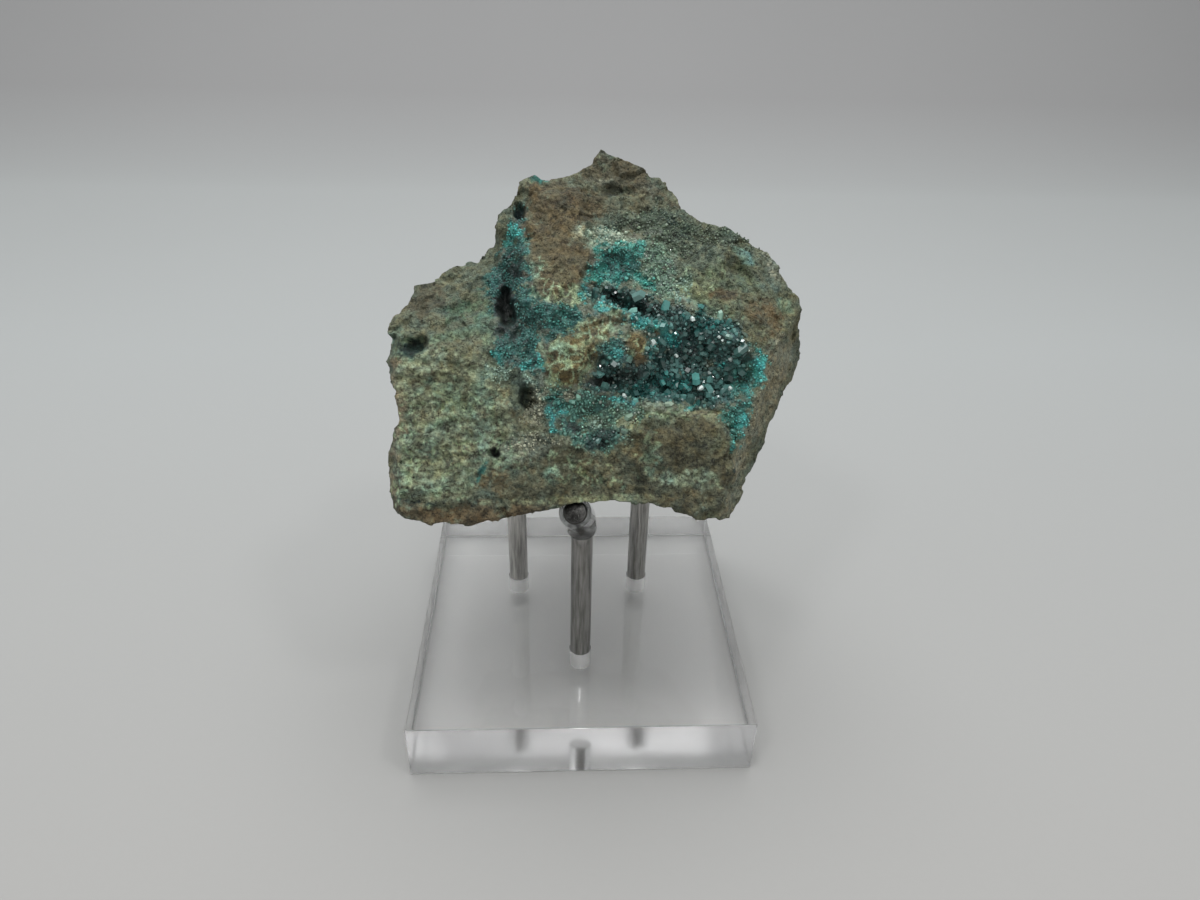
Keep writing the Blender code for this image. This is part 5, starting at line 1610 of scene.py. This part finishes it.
def rod_finish():
    finish = Finish("aluminium", Metallic=1.0)
    stretched = finish.node("ShaderNodeMapping", None, {"Vector": finish.place(), "Scale": (1.0, 1.0, 0.08)})
    streaks = finish.noise(0.55, 3.0, 0.6, where=stretched)
    colour = finish.mix(streaks.between(0.35, 0.65), (0.2, 0.195, 0.185, 1.0), (0.48, 0.47, 0.45, 1.0))
    # Multiplied by the painted light and shade stored with each rod
    colour = finish.mix(1.0, colour, finish.attribute("tone"), "MULTIPLY")
    scratches = 1 - abs(finish.noise(0.6, 3.0, 0.6, distortion=1.5) - 0.5).between(0.0, 0.02)
    worn = scratches * (1 - finish.attribute("tone", "Fac")) * 0.22
    colour = finish.mix(worn, colour, (0.6, 0.59, 0.56, 1.0))
    gloss = 0.26 + 0.16 * finish.noise(1.5, 3.0)
    return finish.set(Base_Color=colour, Roughness=gloss, Normal=finish.bump(streaks, 0.02, 0.35))


def vinyl_finish():
    finish = Finish("vinyl", IOR=1.5, Transmission_Weight=1.0)
    cloud = finish.noise(1.8, 3.0)
    tint = finish.mix(cloud, (0.22, 0.225, 0.22, 1.0), (0.4, 0.405, 0.4, 1.0))
    return finish.set(Base_Color=tint, Roughness=0.04 + 0.08 * cloud)


def floor_finish(front, middle, wall):
    """Pale paper whose colour changes with the distance as painted shade: darker near floor, lighter far
    floor, darker wall; with painted light beneath the clear block.
    """
    finish = Finish("backdrop")
    wide = finish.noise(160.0, 2.0)
    paper = finish.noise(1.1, 4.0)
    distance = finish.node("ShaderNodeSeparateXYZ", None, {0: finish.place()}, output="Y")
    # Painted shade: darker and warmer on the near floor, darker on the wall
    tint = finish.mix(distance.between(FLOOR_NEAR * MM, FLOOR_FAR * MM), (*front, 1.0), (*middle, 1.0))
    tint = finish.mix(distance.between(WALL_NEAR * MM, WALL_FAR * MM), tint, (*wall, 1.0))
    across = finish.node("ShaderNodeSeparateXYZ", None, {0: finish.place()}, output="X")
    reach = abs(across).larger(abs(distance))
    # Painted light: the floor is lighter beneath the clear block
    painted_light_beneath = 1 - reach.between((BLOCK_SIDE / 2 - 0.5) * MM, BLOCK_SIDE / 2 * MM)
    value = 0.96 + 0.05 * wide + 0.03 * paper + PAINTED_LIGHT_UNDER_BLOCK * painted_light_beneath
    tint = finish.shaded(tint, value)
    return finish.set(Base_Color=tint, Roughness=0.8 + 0.1 * paper, Normal=finish.bump(paper, 0.05, 0.1))


def make_sweep():
    """The floor, curving up into the backdrop behind."""
    profile = [(-SWEEP_FRONT, 0.0), (0.0, 0.0), (SWEEP_BACK, 0.0)]
    for k in range(1, SWEEP_STEPS + 1):
        angle = math.pi / 2 * k / SWEEP_STEPS
        profile.append((SWEEP_BACK + SWEEP_CURVE * math.sin(angle), SWEEP_CURVE * (1 - math.cos(angle))))
    profile.append((SWEEP_BACK + SWEEP_CURVE, SWEEP_HEIGHT))
    points = [(side * SWEEP_WIDTH, y, z - FLOOR_GAP) for y, z in profile for side in (-1, 1)]
    faces = [(2 * k, 2 * k + 1, 2 * k + 3, 2 * k + 2) for k in range(len(profile) - 1)]
    mesh = mesh_from("backdrop", points, faces)
    mesh.shade_smooth()
    return mesh


def add_light(name, place, aim, side, watts):
    lamp = bpy.data.lights.new(name, "AREA")
    lamp.shape = "SQUARE"
    lamp.size = side * MM
    lamp.energy = watts
    obj = put_in_scene(name, lamp)
    obj.location = Vector(place) * MM
    obj.rotation_euler = (Vector(aim) - Vector(place)).to_track_quat("-Z", "Y").to_euler()


def add_camera():
    """The camera of the photo: place, direction and roll."""
    pitch, yaw, roll = (math.radians(angle) for angle in CAMERA_TURN)
    ahead = Vector((math.sin(yaw) * math.cos(pitch), math.cos(yaw) * math.cos(pitch), -math.sin(pitch)))
    level = Vector((math.cos(yaw), -math.sin(yaw), 0))
    above = level.cross(ahead)
    right = math.cos(roll) * level + math.sin(roll) * above
    up = math.cos(roll) * above - math.sin(roll) * level
    camera = put_in_scene("camera", bpy.data.cameras.new("camera"))
    camera.data.sensor_width = SENSOR_WIDTH
    camera.data.lens = CAMERA_LENS
    camera.data.clip_start = CAMERA_NEAREST * MM
    axes = Matrix((right, up, -ahead)).transposed().to_4x4()
    camera.matrix_world = Matrix.Translation(Vector(CAMERA_PLACE) * MM) @ axes
    bpy.context.scene.camera = camera


class RockSettings(bpy.types.PropertyGroup):
    """The rock and the relief of its open face."""

    fineness: IntProperty(
        name="Fineness", description="How many times the rock's triangles are split into four",
        default=2, min=0, max=2,
    )
    relief: FloatProperty(
        name="Relief", description="How strong the fine relief of the open face is", default=1.0, min=0.0,
        max=2.0,
    )
    druse: FloatProperty(
        name="Crust relief", description="How strong the knobs of the crust are", default=1.0, min=0.0,
        max=2.0,
    )


class CrystalSettings(bpy.types.PropertyGroup):
    """The crystals that stand on the open face."""

    seed: IntProperty(name="Seed", description="Which scatter of crystals is made", default=17)
    tries: IntProperty(
        name="Tries", description="How many places are tried for a crystal", default=90000, min=0
    )
    size_mm: FloatProperty(
        name="Size (mm)", description="How wide a crystal of the richest place is", default=0.9, min=0.2,
        max=3.0,
    )
    spacing: FloatProperty(
        name="Spacing", description="Least distance between crystals, as a share of their sizes added",
        default=0.36, min=0.1, max=2.0,
    )
    sparse: FloatProperty(
        name="Sparse", description="How much further apart the small dull crystals stand", default=1.5,
        min=1.0, max=4.0,
    )
    lean: FloatProperty(
        name="Lean", description="How much the crystals lean away from the surface's own direction",
        default=0.55, min=0.0, max=2.0,
    )


class StandSettings(bpy.types.PropertyGroup):
    """The bent rods and their sleeves."""

    sides: IntProperty(name="Sides", description="How many sides a rod is drawn with", default=48, min=12)
    bend_steps: IntProperty(name="Bend steps", description="How many steps the bend has", default=20, min=5)
    sleeve_clearance: FloatProperty(
        name="Sleeve clearance (mm)", description="The room between a rod and its sleeve", default=0.03,
        min=0.0, max=0.2,
    )


class StageSettings(bpy.types.PropertyGroup):
    """The floor, the light and the camera."""

    # These colours hold painted shade: the near floor and the wall are darker than the far floor
    front: FloatVectorProperty(
        name="Near floor", description="The floor's colour in front", subtype="COLOR",
        default=(0.348, 0.331, 0.317), min=0.0, max=1.0,
    )
    middle: FloatVectorProperty(
        name="Far floor", description="The floor's colour behind the specimen", subtype="COLOR",
        default=(0.411, 0.426, 0.425), min=0.0, max=1.0,
    )
    wall: FloatVectorProperty(
        name="Wall", description="The backdrop's colour", subtype="COLOR",
        default=(0.315, 0.313, 0.315), min=0.0, max=1.0,
    )
    softbox: FloatProperty(
        name="Softbox", description="Power of the large light overhead", subtype="POWER", unit="POWER",
        default=3.9, min=0.0,
    )
    lamps: FloatProperty(
        name="Small lamps", description="Power of each small lamp, which makes the crystals glint",
        subtype="POWER", unit="POWER", default=0.25, min=0.0,
    )
    ambient: FloatProperty(
        name="Ambient light", description="Strength of the light from all round", default=0.45, min=0.0
    )


@functools.lru_cache(maxsize=1)
def open_face(fineness, relief):
    return RockShape(fineness, relief)


class SPECIMEN_OT_rock(bpy.types.Operator):
    """Make the lump of rock"""

    bl_idname = "specimen.rock"
    bl_label = "Rock"

    def execute(self, context):
        settings = context.scene.specimen_rock
        mesh = make_rock(open_face(settings.fineness, settings.relief))
        rock = add_piece("rock", mesh, rock_finish())
        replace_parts(rock, "matrix")
        return {"FINISHED"}


class SPECIMEN_OT_crust(bpy.types.Operator):
    """Make the crust of tiny crystals in the rock's hollow"""

    bl_idname = "specimen.crust"
    bl_label = "Crust"

    def execute(self, context):
        settings = context.scene.specimen_rock
        mesh = make_crust(open_face(settings.fineness, settings.relief), settings.druse)
        crust = add_piece("crust", mesh, crust_finish())
        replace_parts(crust, "dioptase_crust")
        return {"FINISHED"}


class SPECIMEN_OT_crystals(bpy.types.Operator):
    """Make the crystals that stand on the crust and the rock"""

    bl_idname = "specimen.crystals"
    bl_label = "Crystals"

    def execute(self, context):
        relief = context.scene.specimen_rock.relief
        mesh = make_crystals(relief, context.scene.specimen_crystals)
        add_piece("crystals", mesh, crystal_finish())
        return {"FINISHED"}


class SPECIMEN_OT_block(bpy.types.Operator):
    """Make the clear block that the rods stand in"""

    bl_idname = "specimen.block"
    bl_label = "Clear block"

    def execute(self, context):
        polished = acrylic_finish("acrylic", *POLISHED)
        block = add_piece("clear_block", make_block("clear_block"), polished)
        block.data.materials.append(acrylic_finish("acrylic_sides", *SAWN))
        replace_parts(block, "acrylic_base")
        return {"FINISHED"}


class SPECIMEN_OT_rods(bpy.types.Operator):
    """Make the three bent rods"""

    bl_idname = "specimen.rods"
    bl_label = "Bent rods"

    def execute(self, context):
        finish = rod_finish()
        for stand in RODS:
            mesh = make_rod(stand, context.scene.specimen_stand)
            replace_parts(add_piece("rod_" + stand, mesh, finish), "peg_" + stand)
        return {"FINISHED"}


class SPECIMEN_OT_sleeves(bpy.types.Operator):
    """Make the soft clear sleeves on the rods' ends"""

    bl_idname = "specimen.sleeves"
    bl_label = "Sleeves"

    def execute(self, context):
        finish = vinyl_finish()
        for stand in RODS:
            mesh = make_sleeve(stand, context.scene.specimen_stand)
            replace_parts(add_piece("tube_" + stand, mesh, finish), "sleeve_" + stand)
        return {"FINISHED"}


class SPECIMEN_OT_stage(bpy.types.Operator):
    """Make the floor and backdrop, the lights and the camera"""

    bl_idname = "specimen.stage"
    bl_label = "Stage"

    def execute(self, context):
        scene = context.scene
        settings = scene.specimen_stage
        sweep = put_in_scene("backdrop", make_sweep())
        sweep.data.materials.append(floor_finish(settings.front, settings.middle, settings.wall))
        add_light("softbox", *SOFTBOX, settings.softbox)
        for number, lamp in enumerate(SMALL_LAMPS):
            add_light(f"small_lamp_{number}", *lamp, settings.lamps)
        scene.world = bpy.data.worlds.new("studio")
        scene.world.use_nodes = True
        background = scene.world.node_tree.nodes["Background"]
        background.inputs["Color"].default_value = AMBIENT_COLOUR
        background.inputs["Strength"].default_value = settings.ambient
        scene.view_settings.view_transform = "Standard"
        scene.cycles.glossy_bounces = GLOSSY_BOUNCES
        add_camera()
        return {"FINISHED"}


OPERATORS = (
    SPECIMEN_OT_block, SPECIMEN_OT_rods, SPECIMEN_OT_sleeves, SPECIMEN_OT_rock, SPECIMEN_OT_crust,
    SPECIMEN_OT_crystals, SPECIMEN_OT_stage,
)
GROUPS = {
    "specimen_rock": RockSettings, "specimen_crystals": CrystalSettings, "specimen_stand": StandSettings,
    "specimen_stage": StageSettings,
}


class SPECIMEN_PT_panel(bpy.types.Panel):
    """Every piece of the specimen, with its settings"""

    bl_idname = "SPECIMEN_PT_panel"
    bl_label = "Specimen"
    bl_space_type = "VIEW_3D"
    bl_region_type = "UI"
    bl_category = "Specimen"

    def draw(self, context):
        for operator in OPERATORS:
            self.layout.operator(operator.bl_idname)
        for name, group in GROUPS.items():
            box = self.layout.box()
            for setting in group.__annotations__:
                box.prop(getattr(context.scene, name), setting)


def register():
    for group in (*GROUPS.values(), *OPERATORS, SPECIMEN_PT_panel):
        bpy.utils.register_class(group)
    for name, group in GROUPS.items():
        setattr(bpy.types.Scene, name, PointerProperty(type=group))


def unregister():
    for name in GROUPS:
        delattr(bpy.types.Scene, name)
    for group in (SPECIMEN_PT_panel, *reversed(OPERATORS), *GROUPS.values()):
        bpy.utils.unregister_class(group)


def main():
    register()
    bpy.ops.specimen.block()
    bpy.ops.specimen.rods()
    bpy.ops.specimen.sleeves()
    bpy.ops.specimen.rock()
    bpy.ops.specimen.crust()
    bpy.ops.specimen.crystals()
    bpy.ops.specimen.stage()
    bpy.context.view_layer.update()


if __name__ == "__main__":
    main()
